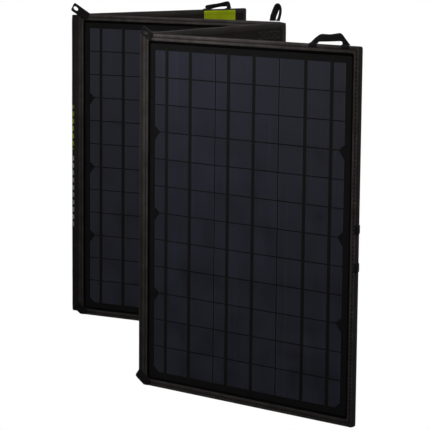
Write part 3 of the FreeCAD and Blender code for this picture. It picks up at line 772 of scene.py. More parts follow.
def make_border(number):
    """The folded, stitched border round a panel's window."""
    chosen = settings()
    outer = panel_ring()
    window = rounded_ring(BORDER_SIDE, WIDTH - BORDER_SIDE, BORDER_BOTTOM,
                          HEIGHT - BORDER_TOP, WINDOW_CORNER)
    rings, ridge = [], []
    for share, rise, wear_and_highlight in BORDER_SECTION:
        ring = []
        for x, z in mix_ring(outer, window, share):
            sway = 0.35 * MM * wander(x, z, 0.045, number) * math.sin(math.pi * share)
            lift = 0.10 * wander(x, z, 0.016, number + 5) + 0.07 * wander(x, z, 0.06, 9)
            y = LAMINATE_TOP + chosen.ridge_height * rise * (1.0 + lift * (rise > 0.3))
            middle = Vector((x - WIDTH / 2, 0.0, z - HEIGHT / 2)).normalized()
            ring.append((x + middle.x * sway, y, z + middle.z * sway))
        rings.append(ring)
        ridge.append(wear_and_highlight)
    bm = bmesh.new()
    zones = [SHADOW_GAP if k >= SHADOW_GAP_FROM else CLOTH for k in range(len(rings))]
    sweep_rings(bm, rings, first_to_last=True, ridge=ridge, material=zones)
    line = mix_ring(outer, window, STITCH_SHARE)
    stitch_along(bm, line, pitch=chosen.stitch_pitch, length=chosen.stitch_length,
                 radius=chosen.thread_radius,
                 height=LAMINATE_TOP + chosen.ridge_height * STITCH_RISE + 0.20 * MM,
                 skew=math.radians(7.0), material=BORDER_SEAM)
    piece = finish_mesh(bm, f"border_{number}",
                        [border_cloth(number), shadow_gap_cloth(number), sewing_thread()],
                        PLACE[number])
    settle(piece, f"panel_{number}", "border_fabric", f"window_border_{number}")


def spread_lines(length, fine, coarse, reach):
    """Grid lines that are close together near both ends."""
    near = [fine * k for k in range(int(reach / fine) + 1)]
    steps = max(int((length - 2 * near[-1]) / coarse), 1)
    middle = [near[-1] + (length - 2 * near[-1]) * k / steps for k in range(1, steps)]
    return near + middle + [length - d for d in reversed(near)]


def cloth_sheet(bm, x_lines, z_lines, height, wear_and_highlight, corner):
    """A grid of fabric on (x, z) lines, with its height in y and its corners round."""
    layer = wear_and_highlight_layer(bm)
    made = bmesh.ops.create_grid(bm, x_segments=len(x_lines) - 1,
                                 y_segments=len(z_lines) - 1, size=1.0)
    x0, x1, z0, z1 = x_lines[0], x_lines[-1], z_lines[0], z_lines[-1]
    for v in made["verts"]:
        column = round((v.co.x + 1.0) / 2.0 * (len(x_lines) - 1))
        row = round((v.co.y + 1.0) / 2.0 * (len(z_lines) - 1))
        x, z = x_lines[column], z_lines[row]
        inset = min(x - x0, x1 - x, z - z0, z1 - z)
        cx = min(max(x, x0 + corner), x1 - corner)
        cz = min(max(z, z0 + corner), z1 - corner)
        away = Vector((x - cx, 0.0, z - cz))
        if away.x and away.z:
            longest = max(abs(away.x), abs(away.z))
            away *= longest / away.length
            x, z = cx + away.x, cz + away.z
        v.co = (x, height(x, z, inset), z)
        v[layer] = wear_and_highlight(inset)


def thicken(bm, thickness, inwards):
    """Give a sheet of fabric its thickness behind the side that shows."""
    signed = -thickness if inwards else thickness
    bmesh.ops.solidify(bm, geom=bm.faces[:], thickness=signed)


def hem(inset):
    """The raised hem of a cover, from its edge inwards: height, and how light it is painted, for wear and
    painted highlight on the raise.
    """
    if inset >= HEM_WIDTH:
        return 0.0, 0.0
    rise = max(math.sin(math.pi * min((inset + HEM_START) / HEM_WIDTH, 1.0)), 0.0)
    return HEM_RISE * rise, 0.35 + 0.55 * rise


def make_back_cover(number):
    """The stretched fabric back, with its hem, stitches and soft wrinkles."""
    chosen = settings()

    def level(x, z, inset):
        calm = min(inset / 0.04, 1.0)
        soft = wander(x, z, 0.085, number) + 0.5 * wander(x, z * 0.5, 0.035, number + 3)
        return -(FACE + hem(inset)[0] + chosen.wrinkle * calm * soft)

    bm = bmesh.new()
    xs = spread_lines(WIDTH, fine=0.0012, coarse=0.009, reach=0.0144)
    zs = spread_lines(HEIGHT, fine=0.0012, coarse=0.009, reach=0.0144)
    cloth_sheet(bm, xs, zs, level, lambda inset: hem(inset)[1], CORNER)
    bmesh.ops.recalc_face_normals(bm, faces=bm.faces[:])
    inside = sum(f.normal.y for f in bm.faces) > 0
    thicken(bm, COVER_THICK, inside)
    line = panel_ring(HEM_SEAM, across=30, up=40)
    stitch_along(bm, line, pitch=chosen.stitch_pitch, length=chosen.stitch_length,
                 radius=chosen.thread_radius * 0.9, height=-FACE - 0.22 * MM,
                 skew=math.radians(6.0), material=SEAM)
    if number == 2:
        for left in BOX_LEFT_EDGES:
            cross_stitch(bm, left, left + BOX_WIDTH, BOX_LOW, BOX_HIGH,
                         -FACE - 0.45 * MM)
    piece = finish_mesh(bm, f"cover_{number}",
                        [back_cloth(number), sewing_thread(), box_thread()],
                        PLACE[number])
    settle(piece, f"panel_{number}", "cover_fabric", f"back_cover_{number}")
    return piece


def cross_stitch(bm, x0, x1, z0, z1, y):
    """A box of stitches with a cross in it, as sewn over a strap's end."""
    chosen = settings()
    corners = [(x0, z0), (x1, z0), (x1, z1), (x0, z1)]
    runs = [corners + corners[:1], [corners[0], corners[2]], [corners[1], corners[3]]]
    for run in runs:
        stitch_along(bm, run, pitch=0.0030, length=0.0024,
                     radius=chosen.thread_radius * 0.85, height=y,
                     closed=False, material=BOX_SEAM)


def make_gusset(number):
    """The soft side wall that runs round the panel's edge."""
    outer = panel_ring()
    inner = panel_ring(BAND_THICK)
    rings, ridge = [], []
    for y, proud in BAND_SECTION:
        ring = []
        for (xo, zo), (xi, zi) in zip(outer, inner):
            out = Vector((xo - xi, zo - zi))
            out.normalize()
            push = proud * MM * (1.0 + 0.4 * wander(xo, zo, 0.02, number))
            if zo < GROUND:
                push = 0.0
            ring.append((xo + out.x * push, y, zo + out.y * push))
        rings.append(ring)
        # lighter where the band stands out: painted highlight, with wear
        ridge.append(0.25 + proud)
    for y in (LAMINATE_TOP, COVER_TOP):
        rings.append([(x, y, z) for x, z in inner])
        ridge.append(0.0)
    bm = bmesh.new()
    sweep_rings(bm, rings, first_to_last=True, ridge=ridge)
    piece = finish_mesh(bm, f"gusset_{number}", border_cloth(number), PLACE[number])
    settle(piece, f"panel_{number}", "gusset_fabric", f"side_gusset_{number}")


# ---- the folds -------------------------------------------------------------

# the spine's flat edges on its two panels, as distances from their ends in mm
SPINE_FLATS = (6.0, 3.5, 1.6)
SPINE_CURVE = 18
SPINE_FOOT = 0.005
SPINE_HEIGHT = HEIGHT - 0.0065
SPINE_THICK = 0.5 * MM
DEEP_BULGE = 0.003
# the printed dashes: pitch, share that is printed, the part of the spine's width
# that they cover, and each row's lower end, upper end and colour
PRINT_PITCH = 0.0125
PRINT_SHARE = 0.62
PRINT_SIDES = (0.34, 0.66)
PRINT_ROWS = (
    (0.281, 0.356, (0.50, 0.62, 0.02)),
    (0.149, 0.273, (0.66, 0.64, 0.62)),
)
# the webs on the inner side of a fold
WEB_INSET = 0.25 * MM
WEB_SHORT = 0.014
WEB_THICK = 0.4 * MM


def place_round_fold(degrees, radius, fold):
    """A place round a fold line."""
    angle = math.radians(degrees)
    line = FOLD_LINES[fold]
    return Vector((line.x + radius * math.cos(angle),
                   line.y + radius * math.sin(angle), 0.0))


def spine_path(fold):
    """The line that the spine follows round its fold, seen from above."""
    first = list(FOLD_SIDE).index(fold) + 1
    side = FOLD_SIDE[fold]
    level = -side * (FACE + 0.10 * MM)
    thickness = 2 * FACE + FOLD_OFFSET[fold]
    start = HEADINGS[first - 1] - 90.0 * side
    sweep = side * (180.0 - WEDGES[fold])
    path = []
    for back in SPINE_FLATS:
        path.append(PLACE[first] @ Vector((WIDTH - back * MM, level, 0.0)))
    for k in range(SPINE_CURVE + 1):
        share = k / SPINE_CURVE
        bulge = SPINE_BULGE[fold] * math.sin(math.pi * share) ** 1.6
        radius = thickness + 0.25 * MM + bulge
        path.append(place_round_fold(start + sweep * share, radius, fold))
    for onward in reversed(SPINE_FLATS):
        path.append(PLACE[first + 1] @ Vector((onward * MM, level, 0.0)))
    return path


def make_spine(fold):
    """The fabric that wraps the outer side of a fold, bending with it."""
    first = list(FOLD_SIDE).index(fold) + 1
    path = spine_path(fold)
    deep = SPINE_BULGE[fold] > DEEP_BULGE
    centre = FOLD_LINES[fold].copy()
    centre.z = 0.0
    z_lines = spread_lines(SPINE_HEIGHT, fine=0.002, coarse=0.006, reach=0.008)
    columns = []
    for k, place in enumerate(path):
        share = k / (len(path) - 1)
        way = (place - centre).normalized()
        free = math.sin(math.pi * share)
        column = []
        for z in z_lines:
            crumple = (wander(share * 0.5, z, 0.05, 3) * 0.9
                       + wander(share * 0.9, z, 0.018, 8) * 0.35)
            amount = (0.3 if deep else 0.15) * MM * free * crumple
            end = min(z, SPINE_HEIGHT - z)
            tuck = -0.6 * MM * free * math.exp(-end / 0.004)
            column.append(place + way * (amount + tuck)
                          + Vector((0.0, 0.0, z + SPINE_FOOT)))
        columns.append(column)
    bm = bmesh.new()
    ridge = [0.75 if k in (1, 2, len(path) - 2, len(path) - 3) else 0.3
             for k in range(len(path))]
    run = run_layer(bm)
    for k, row in enumerate(sweep_rings(bm, columns, closed_ring=False, ridge=ridge)):
        for v, z in zip(row, z_lines):
            v[run] = (k / (len(columns) - 1), z + SPINE_FOOT, 0.0)
    bmesh.ops.recalc_face_normals(bm, faces=bm.faces[:])
    middle = bm.faces[:][len(bm.faces) // 2]
    centre.z = middle.calc_center_median().z
    outward = middle.normal.dot(middle.calc_center_median() - centre) > 0
    thicken(bm, SPINE_THICK, outward)
    if deep:
        cloth = kept("printed_spine", printed_fabric)
    else:
        chosen = settings()
        cloth = kept(f"spine_cloth_{fold}", fabric, first,
                     tuple(chosen.border_dark), tuple(chosen.border_light))
    piece = finish_mesh(bm, f"spine_{fold}", cloth)
    settle(piece, None, "spine_fabric", f"fold_spine_{fold}")
    flats = len(SPINE_FLATS)
    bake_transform(piece, f"panel_{first}", f"panel_{first + 1}",
             start=tuple(path[flats]), end=tuple(path[-flats - 1]))


def printed_fabric(name):
    """The deep spine's fabric, with two rows of plain printed dashes."""
    chosen = settings()
    material = fabric(name, 3, tuple(chosen.border_dark), tuple(chosen.border_light))
    tree = material.node_tree
    shader = tree.nodes["Principled BSDF"]
    under = shader.inputs["Base Color"].links[0].from_socket
    place = node(tree, "ShaderNodeSeparateXYZ", {
        0: node(tree, "ShaderNodeAttribute", attribute_name="strap").outputs["Vector"]})
    share, height = place.outputs[0], place.outputs[1]
    ragged = blotch(tree, panel_coordinates(tree, 0), scale=260.0)
    left, right = PRINT_SIDES
    width = maths(tree, "MULTIPLY", maths(tree, "GREATER_THAN", share, left),
                  maths(tree, "LESS_THAN", share, right))
    dash = maths(tree, "LESS_THAN", maths(tree, "FRACT", maths(
        tree, "DIVIDE", height, PRINT_PITCH)), PRINT_SHARE)
    for low, high, colour in PRINT_ROWS:
        inside = maths(tree, "MULTIPLY", maths(tree, "GREATER_THAN", height, low),
                       maths(tree, "LESS_THAN", height, high))
        ink = maths(tree, "MULTIPLY", maths(tree, "MULTIPLY", inside, dash), width)
        ink = maths(tree, "MULTIPLY", ink, stretch(tree, ragged, 0.3, 0.6, 0.7, 1.0))
        under = blend_colours(tree, ink, under, colour)
    tree.links.new(under, shader.inputs["Base Color"])
    return material


def make_webs(number):
    """The strips of fabric from a panel's edges to its fold lines."""
    bm = bmesh.new()
    ends = []
    if number > 1:
        ends.append((False, list(FOLD_SIDE)[number - 2]))
    if number < 4:
        ends.append((True, list(FOLD_SIDE)[number - 1]))
    for at_end, fold in ends:
        side = FOLD_SIDE[fold]
        x = WIDTH - WEB_INSET if at_end else WEB_INSET
        z_lines = spread_lines(HEIGHT - 2 * WEB_SHORT, fine=0.004, coarse=0.010,
                               reach=0.008)
        columns = []
        for share in (0.0, 0.33, 0.66, 1.0):
            y = side * (FACE + (FOLD_OFFSET[fold] - 0.15 * MM) * share)
            columns.append([
                (x + 0.12 * MM * math.sin(math.pi * share) * wander(share, z, 0.02, 4),
                 y, z + WEB_SHORT) for z in z_lines])
        verts = sweep_rings(bm, columns, closed_ring=False,
                            ridge=[0.1, 0.3, 0.4, 0.6])
        faces = list({f for row in verts for v in row for f in v.link_faces})
        bmesh.ops.solidify(bm, geom=faces, thickness=WEB_THICK)
    piece = finish_mesh(bm, f"webs_{number}", back_cloth(number), PLACE[number])
    settle(piece, f"panel_{number}", "spine_fabric", f"fold_webs_{number}")


# ---- straps ----------------------------------------------------------------

# half of a strap's section: places across it, from one selvedge to the other
STRAP_SHARES = (-0.5, -0.46, -0.36, -0.2, 0.0, 0.2, 0.36, 0.46, 0.5)
# how far a bend reaches from its corner, and the longest and shortest steps
BEND_REACH = 0.004
STRAP_STEP = 0.004
SHORTEST_STEP = 0.0001

# the two directions that a sewn foot's width lies in
ALONG_TOP = Vector((1.0, 0.0, 0.0))
UPWARDS = Vector((0.0, 0.0, 1.0))

# the loop beside the second fold
FOLD_LOOP_BAND = 0.0098
FOLD_LOOP_HEIGHT = 0.0235
# its two sewn stubs: centre and width
FOLD_LOOP_STUBS = ((0.0145, 0.011), (0.0052, 0.006))

# the corner tabs beside a fold, by panel
TAB_TOP_REACH = {1: 0.0165, 3: 0.0300}
TAB_FOOT_REACH = {1: 0.0138, 3: 0.0125}
TAB_TOP_INSET = {1: 0.012, 3: 0.015}
TAB_TOP_HALF = {1: 0.0064, 3: 0.0074}
TAB_FOOT_INSET = 0.003
TAB_FOOT_HALF = 0.0074
TAB_TOP_TURN = -30.0
TAB_FOOT_TURN = -36.0
TAB_THICK = 1.1 * MM
TAB_LIFT = 0.55 * MM
EYE_FROM_TIP = 0.0072
EYE_LONG, EYE_SHORT = 0.0048, 0.0029
# a tab's section from its outline to its eye: share of the way, height, and wear with painted highlight on
# the raised rims
TAB_SECTION = (
    (0.0, 0.25, 1.0), (0.0, 0.75, 1.0), (0.10, 1.0, 0.9), (0.3, 0.92, 0.2),
    (0.6, 0.97, 0.2), (0.88, 1.05, 0.8), (1.0, 0.8, 0.6), (1.0, 0.2, 0.3),
    (0.88, 0.0, 0.0), (0.10, 0.0, 0.3),
)

# the carry loop on the first panel's free edge
SIDE_LOOP_Z = 0.242
SIDE_LOOP_LENGTH = 0.064
SIDE_LOOP_REACH = 0.026
SIDE_LOOP_BAND = 0.012
SIDE_LOOP_FOOT = 0.013


def run_at(line, k):
    """The direction of a line at one of its places."""
    return (line[min(k + 1, len(line) - 1)] - line[max(k - 1, 0)]).normalized()


def strap(bm, centre_line, sides, width, thickness, square=True):
    """A flat strap along a line of places, with rounded selvedges.

    sides gives the direction across the strap at each place, and width is one
    number or one for each place. When it isn't square, the sides are kept as
    given, for a folded corner.
    """
    widths = width if isinstance(width, list) else [width] * len(centre_line)
    run_place, wear_and_highlight = run_layer(bm), wear_and_highlight_layer(bm)
    upper = [(s, 0.5 * min(1.0, 4.0 * (0.5 - abs(s)) + 0.25)) for s in STRAP_SHARES]
    loop = upper + [(s, -t) for s, t in reversed(upper)]
    walked = 0.0
    rings, runs = [], []
    for k, (place, side) in enumerate(zip(centre_line, sides)):
        ahead = run_at(centre_line, k)
        across = side - ahead * side.dot(ahead) if square else side.copy()
        across.normalize()
        up = ahead.cross(across).normalized()
        width = widths[k]
        if k:
            walked += (place - centre_line[k - 1]).length
        ring, run = [], []
        for s, t in loop:
            swell = 1.0 + 0.06 * wander(walked, s * width, 0.012, 2)
            reach = s * width * (1 + 0.02 * wander(walked, s, 0.02, 6))
            ring.append(place + across * reach + up * (t * thickness * swell))
            run.append((s * width, walked, 0.0))
        rings.append(ring)
        runs.append(run)
    rows = sweep_rings(bm, rings, close_ends=True)
    for row, run in zip(rows, runs):
        for v, place in zip(row, run):
            v[run_place] = place
            # selvedges painted lighter: wear and painted highlight
            v[wear_and_highlight] = 1.0 if abs(place[0]) > width * 0.42 else 0.2


def along(*places, steps=6):
    """Places joined by a smooth line that passes near each of them."""
    known = [Vector(p) for p in places]
    line = [known[0]]
    for k in range(1, len(known) - 1):
        before, here, after = known[k - 1], known[k], known[k + 1]
        enter = here.lerp(before, min(
            0.45, BEND_REACH / max((here - before).length, TINY)))
        leave = here.lerp(after, min(
            0.45, BEND_REACH / max((here - after).length, TINY)))
        for step in range(steps + 1):
            t = step / steps
            line.append(enter * (1 - t) ** 2 + here * 2 * t * (1 - t) + leave * t * t)
    line.append(known[-1])
    filled = [line[0]]
    for place in line[1:]:
        gap = (place - filled[-1]).length
        if gap < SHORTEST_STEP:
            continue
        count = max(int(gap / STRAP_STEP), 1)
        for step in range(1, count):
            filled.append(filled[-1].lerp(place, 1.0 / (count - step + 1)))
        filled.append(place)
    return filled


def strap_sides(line):
    """The direction across a flat strap at each place of its line."""
    sides = []
    for k in range(len(line)):
        ahead = run_at(line, k)
        sides.append(Vector((ahead.z, 0.0, -ahead.x)))
    return sides


def twisted_sides(line, turn):
    """The same for a strap that turns about its own run.

    turn gives the angle at a share of the line.
    """
    return [Matrix.Rotation(turn(k / (len(line) - 1)), 3, run_at(line, k)) @ side
            for k, side in enumerate(strap_sides(line))]


def make_handle_1():
    """The first handle: one band folded over two slanted legs."""
    x0, length, foot, low = HANDLE_1_X, HANDLE_LENGTH, HANDLE_FOOT, STRAP_FOOT_Z
    inner = along((x0 + foot, 0, low), (x0 + foot, 0, HINGE_Z + 2.4 * MM),
                  (x0 + foot + 1.6 * MM, 0, HINGE_Z + 4.2 * MM),
                  (x0 + length * 0.50, 0, HINGE_Z + 2.7 * MM),
                  (x0 + length - foot - 2.0 * MM, 0, HINGE_Z + 1.8 * MM),
                  (x0 + length - foot, 0, HINGE_Z + 1.0 * MM),
                  (x0 + length - foot, 0, low), steps=5)
    outer = along((x0, 0, low), (x0 + 6.0 * MM, 0, HINGE_Z + 5.4 * MM),
                  (x0 + 15.5 * MM, 0, HINGE_Z + 15.2 * MM),
                  (x0 + length * 0.50, 0, HINGE_Z + 12.2 * MM),
                  (x0 + length - 17.0 * MM, 0, HINGE_Z + 12.4 * MM),
                  (x0 + length - 7.0 * MM, 0, HINGE_Z + 6.0 * MM),
                  (x0 + length, 0, low), steps=5)
    bm = bmesh.new()
    strap(bm, [(a + b) / 2 for a, b in zip(inner, outer)],
          [b - a for a, b in zip(inner, outer)],
          [(b - a).length for a, b in zip(inner, outer)],
          thickness=1.6 * MM, square=False)
    piece = finish_mesh(bm, "handle_strap_1", strap_cloth(), PLACE[1])
    settle(piece, "top_handle_1", "webbing", "handle_1")


def make_handle_4():
    """The fourth handle: a twisted band that rises to one side and drops."""
    x0, length, foot = HANDLE_4_X, HANDLE_LENGTH, HANDLE_FOOT
    low, high = STRAP_FOOT_Z, HINGE_Z + HANDLE_4_HEIGHT
    line = along((x0 + foot * 0.5, 0.0, low + 0.5 * MM),
                 (x0 + foot * 0.75, 0.2 * MM, low + 3.0 * MM),
                 (x0 + length * 0.45, 0.6 * MM, low + (high - low) * 0.50),
                 (x0 + length * 0.74, 0.3 * MM, high - 3.4 * MM),
                 (x0 + length * 0.92, 0.0, high - 2.8 * MM),
                 (x0 + length - foot * 0.40, 0.0, low + (high - low) * 0.55),
                 (x0 + length - foot * 0.5, 0.0, low + 0.5 * MM), steps=7)

    def twist(share):
        return math.radians(62.0) * math.sin(math.pi * min(share / 0.8, 1.0)) ** 0.7

    bm = bmesh.new()
    strap(bm, line, twisted_sides(line, twist), HANDLE_BAND, thickness=1.25 * MM)
    lean = (Matrix.Translation((0, 0, HINGE_Z))
            @ Matrix.Rotation(-math.radians(HANDLE_4_LEAN), 4, "X")
            @ Matrix.Translation((0, 0, -HINGE_Z)))
    bmesh.ops.transform(bm, matrix=lean, verts=bm.verts[:])
    piece = finish_mesh(bm, "handle_strap_4", strap_cloth(), PLACE[4])
    settle(piece, "top_handle_4", "webbing", "handle_4")


def make_handle_feet(number, x0):
    """A handle's two ends, sewn on the border and brought over its top."""
    foot = HANDLE_FOOT
    bm = bmesh.new()
    for foot_x in (x0 + foot / 2, x0 + HANDLE_LENGTH - foot / 2):
        line = along((foot_x, FACE + 0.35 * MM, HEIGHT - 3.6 * MM),
                     (foot_x, FACE + 0.45 * MM, HEIGHT - 1.2 * MM),
                     (foot_x, FACE - 1.0 * MM, HEIGHT + 0.9 * MM),
                     (foot_x, 0.0, HEIGHT + 1.6 * MM), steps=5)
        strap(bm, line, [ALONG_TOP] * len(line), foot, thickness=0.9 * MM)
    piece = finish_mesh(bm, f"feet_{number}", strap_cloth(), PLACE[number])
    settle(piece, f"panel_{number}", "webbing", f"handle_feet_{number}")


def make_fold_loop():
    """The taller twisted loop beside the second fold."""
    low, high = STRAP_FOOT_Z, HINGE_Z + FOLD_LOOP_HEIGHT
    line = along((0.0145, 0.0, low + 1.3 * MM), (0.0138, 0.1 * MM, low + 7.0 * MM),
                 (0.0098, 0.2 * MM, low + 17.0 * MM),
                 (0.0070, 0.1 * MM, high - 0.6 * MM), (0.0035, 0.0, high + 0.8 * MM),
                 (0.0008, 0.0, high - 4.0 * MM), (0.0016, -0.1 * MM, low + 11.0 * MM),
                 (0.0045, 0.0, low + 1.3 * MM), steps=7)

    def turn(share):
        return math.radians(14.0 + 24.0 * min(max((share - 0.3) / 0.35, 0.0), 1.0))

    bm = bmesh.new()
    strap(bm, line, twisted_sides(line, turn), FOLD_LOOP_BAND, thickness=1.2 * MM)
    for centre, wide in FOLD_LOOP_STUBS:
        stub = along((centre, 0.0, low + 0.4 * MM), (centre, 0.0, low + 3.2 * MM))
        strap(bm, stub, [ALONG_TOP] * len(stub), wide, thickness=1.15 * MM)
    piece = finish_mesh(bm, "fold_loop", strap_cloth(), PLACE[3])
    settle(piece, "top_loop_3", "webbing", "fold_loop_3")


def tab_outline(root, reach, half, cut):
    """The outline of a tab as (u, v) points, u outwards."""
    corners = [(-root, -half), (0.0, -half), (reach - cut, -half), (reach, cut - half),
               (reach, half - cut), (reach - cut, half), (0.0, half), (-root, half)]
    points = []
    for (ua, va), (ub, vb) in zip(corners, corners[1:] + corners[:1]):
        steps = max(int(math.hypot(ub - ua, vb - va) / 0.0022), 1)
        points += [(ua + (ub - ua) * s / steps, va + (vb - va) * s / steps)
                   for s in range(steps)]
    return points


def make_tabs(number):
    """The webbing tabs at the corners beside a fold, one of them with an eye."""
    bm = bmesh.new()
    run_place = run_layer(bm)
    for bottom in (False, True):
        if bottom:
            reach, half, inset = TAB_FOOT_REACH[number], TAB_FOOT_HALF, TAB_FOOT_INSET
            outer = tab_outline(0.013, reach, half, 0.002)
            hole = [(u * 0.02 + reach * 0.2, v * 0.02) for u, v in outer]
            turn, pivot_z = math.radians(TAB_FOOT_TURN), 0.0095
        else:
            reach, half = TAB_TOP_REACH[number], TAB_TOP_HALF[number]
            inset = TAB_TOP_INSET[number]
            outer = tab_outline(0.005, reach, half, 0.002)
            eye_u = reach - EYE_FROM_TIP
            hole = []
            for u, v in outer:
                bend = math.atan2(v, u - eye_u)
                hole.append((eye_u + EYE_LONG * math.cos(bend),
                             EYE_SHORT * math.sin(bend)))
            turn, pivot_z = math.radians(TAB_TOP_TURN), HEIGHT - 0.0018
        rings = []
        for share, level, _ in TAB_SECTION:
            ring = []
            for (uo, vo), (ui, vi) in zip(outer, hole):
                u, v = uo + (ui - uo) * share, vo + (vi - vo) * share
                x = WIDTH - inset + u * math.cos(turn) + v * math.sin(turn)
                z = pivot_z - u * math.sin(turn) + v * math.cos(turn)
                lift = TAB_LIFT if x > WIDTH else 0.0
                base = FACE + 0.1 * MM + lift * min((x - WIDTH) / 0.003, 1.0)
                droop = 0.12 * MM * wander(u, v, 0.008, number)
                ring.append((x, base + TAB_THICK * level + droop * level,
                             max(z, 0.0002)))
            rings.append(ring)
        rows = sweep_rings(bm, rings, first_to_last=True,
                           ridge=[wear_with_highlight for _, _, wear_with_highlight in TAB_SECTION])
        for row, (share, _, _) in zip(rows, TAB_SECTION):
            for v, (uo, vo), (ui, vi) in zip(row, outer, hole):
                v[run_place] = (vo + (vi - vo) * share, uo + (ui - uo) * share, 0.0)
        steps = [(-0.0038, -0.0042), (0.0012, -0.0042), (0.0012, 0.0042),
                 (-0.0038, 0.0042), (-0.0038, -0.0042)]
        run = [(WIDTH - inset + u * math.cos(turn) + v * math.sin(turn),
                pivot_z - u * math.sin(turn) + v * math.cos(turn)) for u, v in steps]
        stitch_along(bm, run, pitch=0.0026, length=0.0021, radius=0.00032,
                     height=FACE + 0.1 * MM + TAB_THICK * 0.97,
                     closed=False, material=SEAM)
    piece = finish_mesh(bm, f"tabs_{number}", [strap_cloth(), sewing_thread()],
                        PLACE[number])
    settle(piece, f"panel_{number}", "webbing", f"corner_tabs_{number}")


def make_side_loop():
    """The carry loop behind the first panel's free edge, and its sewn feet."""
    centre, reach, band = SIDE_LOOP_Z, SIDE_LOOP_REACH, SIDE_LOOP_BAND
    y = -FACE - 0.7 * MM
    low = centre - (SIDE_LOOP_LENGTH - SIDE_LOOP_FOOT) / 2
    high = centre + (SIDE_LOOP_LENGTH - SIDE_LOOP_FOOT) / 2
    line = along((0.0012, y, low), (0.012, y - 0.1 * MM, low + 0.3 * MM),
                 (reach - band / 2, y, low + 2.5 * MM),
                 (reach - band / 2 + 0.6 * MM, y + 0.1 * MM, centre),
                 (reach - band / 2, y, high - 2.5 * MM),
                 (0.012, y - 0.1 * MM, high - 0.3 * MM), (0.0012, y, high), steps=7)
    bm = bmesh.new()
    strap(bm, line, strap_sides(line), band * 0.96, thickness=1.2 * MM)
    piece = finish_mesh(bm, "side_loop_strap", strap_cloth(), PLACE[1])
    settle(piece, "side_loop", "webbing", "side_loop_1")
    bm = bmesh.new()
    for z in (low, high):
        path = along((0.0022, FACE + 0.40 * MM, z), (-0.8 * MM, FACE + 0.25 * MM, z),
                     (-1.75 * MM, FACE - 1.4 * MM, z), (-1.9 * MM, 0.0, z),
                     (-1.75 * MM, -FACE + 1.2 * MM, z),
                     (-0.8 * MM, -FACE - 0.35 * MM, z),
                     (0.0012, -FACE - 0.4 * MM, z), steps=5)
        strap(bm, path, [UPWARDS] * len(path), 0.0118, thickness=0.8 * MM)
    piece = finish_mesh(bm, "side_loop_feet", strap_cloth(), PLACE[1])
    settle(piece, "panel_1", "webbing", "side_loop_feet_1")


# ---- label and patch -------------------------------------------------------

LABEL_SIZE = (0.075, 0.034)
LABEL_THICK = 0.45 * MM
LABEL_SEAM = 0.0032
LABEL_THREAD = (0.10, 0.13, 0.02)
PATCH_SIZE = (0.102, 0.076)
PATCH_Z = 0.236
PATCH_THICK = 0.5 * MM
PATCH_SEAM = 0.0042
RAISED_EDGE = 0.003


def label_weave(name):
    """Plain woven label: bright yellow-green threads with a satin edge."""
    colour = tuple(settings().label_colour)
    dark = tuple(c * 0.6 for c in colour)
    return fabric(name, 4, dark, colour, pitch=0.0008, sheen=0.1, roughness=0.7)


def make_label():
    """The woven label below the fourth panel's handle, and its stitches."""
    x1, z1 = WIDTH - 0.027, HEIGHT - 0.002
    x0, z0 = x1 - LABEL_SIZE[0], z1 - LABEL_SIZE[1]

    def level(x, z, inset):
        edge = 0.25 * MM if inset < RAISED_EDGE else 0.0
        soft = 0.10 * MM * wander(x, z, 0.018, 2) * min(inset / 0.004, 1.0)
        return -FACE - 0.75 * MM - edge - soft

    bm = bmesh.new()
    xs = [x0 + d for d in spread_lines(x1 - x0, fine=0.0012, coarse=0.004,
                                       reach=0.0048)]
    zs = [z0 + d for d in spread_lines(z1 - z0, fine=0.0012, coarse=0.003,
                                       reach=0.0048)]
    # the raised edge painted lighter: wear and painted highlight
    cloth_sheet(bm, xs, zs, level, lambda inset: 1.0 if inset < 0.0035 else 0.65,
                corner=0.0015)
    bmesh.ops.solidify(bm, geom=bm.faces[:], thickness=LABEL_THICK)
    line = rounded_ring(x0 + LABEL_SEAM, x1 - LABEL_SEAM, z0 + LABEL_SEAM,
                        z1 - LABEL_SEAM, 0.001, across=10, up=6, arc=2)
    stitch_along(bm, line, pitch=0.0036, length=0.0026, radius=0.00030,
                 height=-FACE - 1.12 * MM, material=SEAM)
    piece = finish_mesh(bm, "label", [kept("label_weave", label_weave),
                                      kept("label_thread", thread, LABEL_THREAD)],
                        PLACE[4])
    settle(piece, "panel_4", "label", "woven_label_4")
    return piece


def make_patch():
    """The sewn patch under the junction box."""
    x0, x1 = WIDTH / 2 - PATCH_SIZE[0] / 2, WIDTH / 2 + PATCH_SIZE[0] / 2
    z0, z1 = PATCH_Z - PATCH_SIZE[1] / 2, PATCH_Z + PATCH_SIZE[1] / 2

    def level(x, z, inset):
        edge = 0.15 * MM if inset < RAISED_EDGE else 0.0
        return -FACE - 0.62 * MM - edge - 0.05 * MM * wander(x, z, 0.02, 5)

    bm = bmesh.new()
    xs = [x0 + d for d in spread_lines(x1 - x0, fine=0.0014, coarse=0.006,
                                       reach=0.0056)]
    zs = [z0 + d for d in spread_lines(z1 - z0, fine=0.0014, coarse=0.006,
                                       reach=0.0056)]
    # the raised edge painted lighter: wear and painted highlight
    cloth_sheet(bm, xs, zs, level, lambda inset: 0.9 if inset < RAISED_EDGE else 0.35,
                corner=0.005)
    bmesh.ops.solidify(bm, geom=bm.faces[:], thickness=PATCH_THICK)
    line = rounded_ring(x0 + PATCH_SEAM, x1 - PATCH_SEAM, z0 + PATCH_SEAM,
                        z1 - PATCH_SEAM, 0.003, across=14, up=10, arc=3)
    stitch_along(bm, line, pitch=0.0044, length=0.0030, radius=0.00034,
                 height=-FACE - 0.98 * MM, material=SEAM)
    piece = finish_mesh(bm, "patch", [back_cloth(4), sewing_thread()], PLACE[4])
    settle(piece, "panel_4", "cover_fabric", "box_patch_4")
    return piece


# ---- finishes of the nodes that are kept ------------------------------------

def give(name, material):
    """Put a material on a kept node."""
    piece = bpy.data.objects[name]
    piece.data.materials.clear()
    piece.data.materials.append(material)


# ---- stage -------------------------------------------------------------------

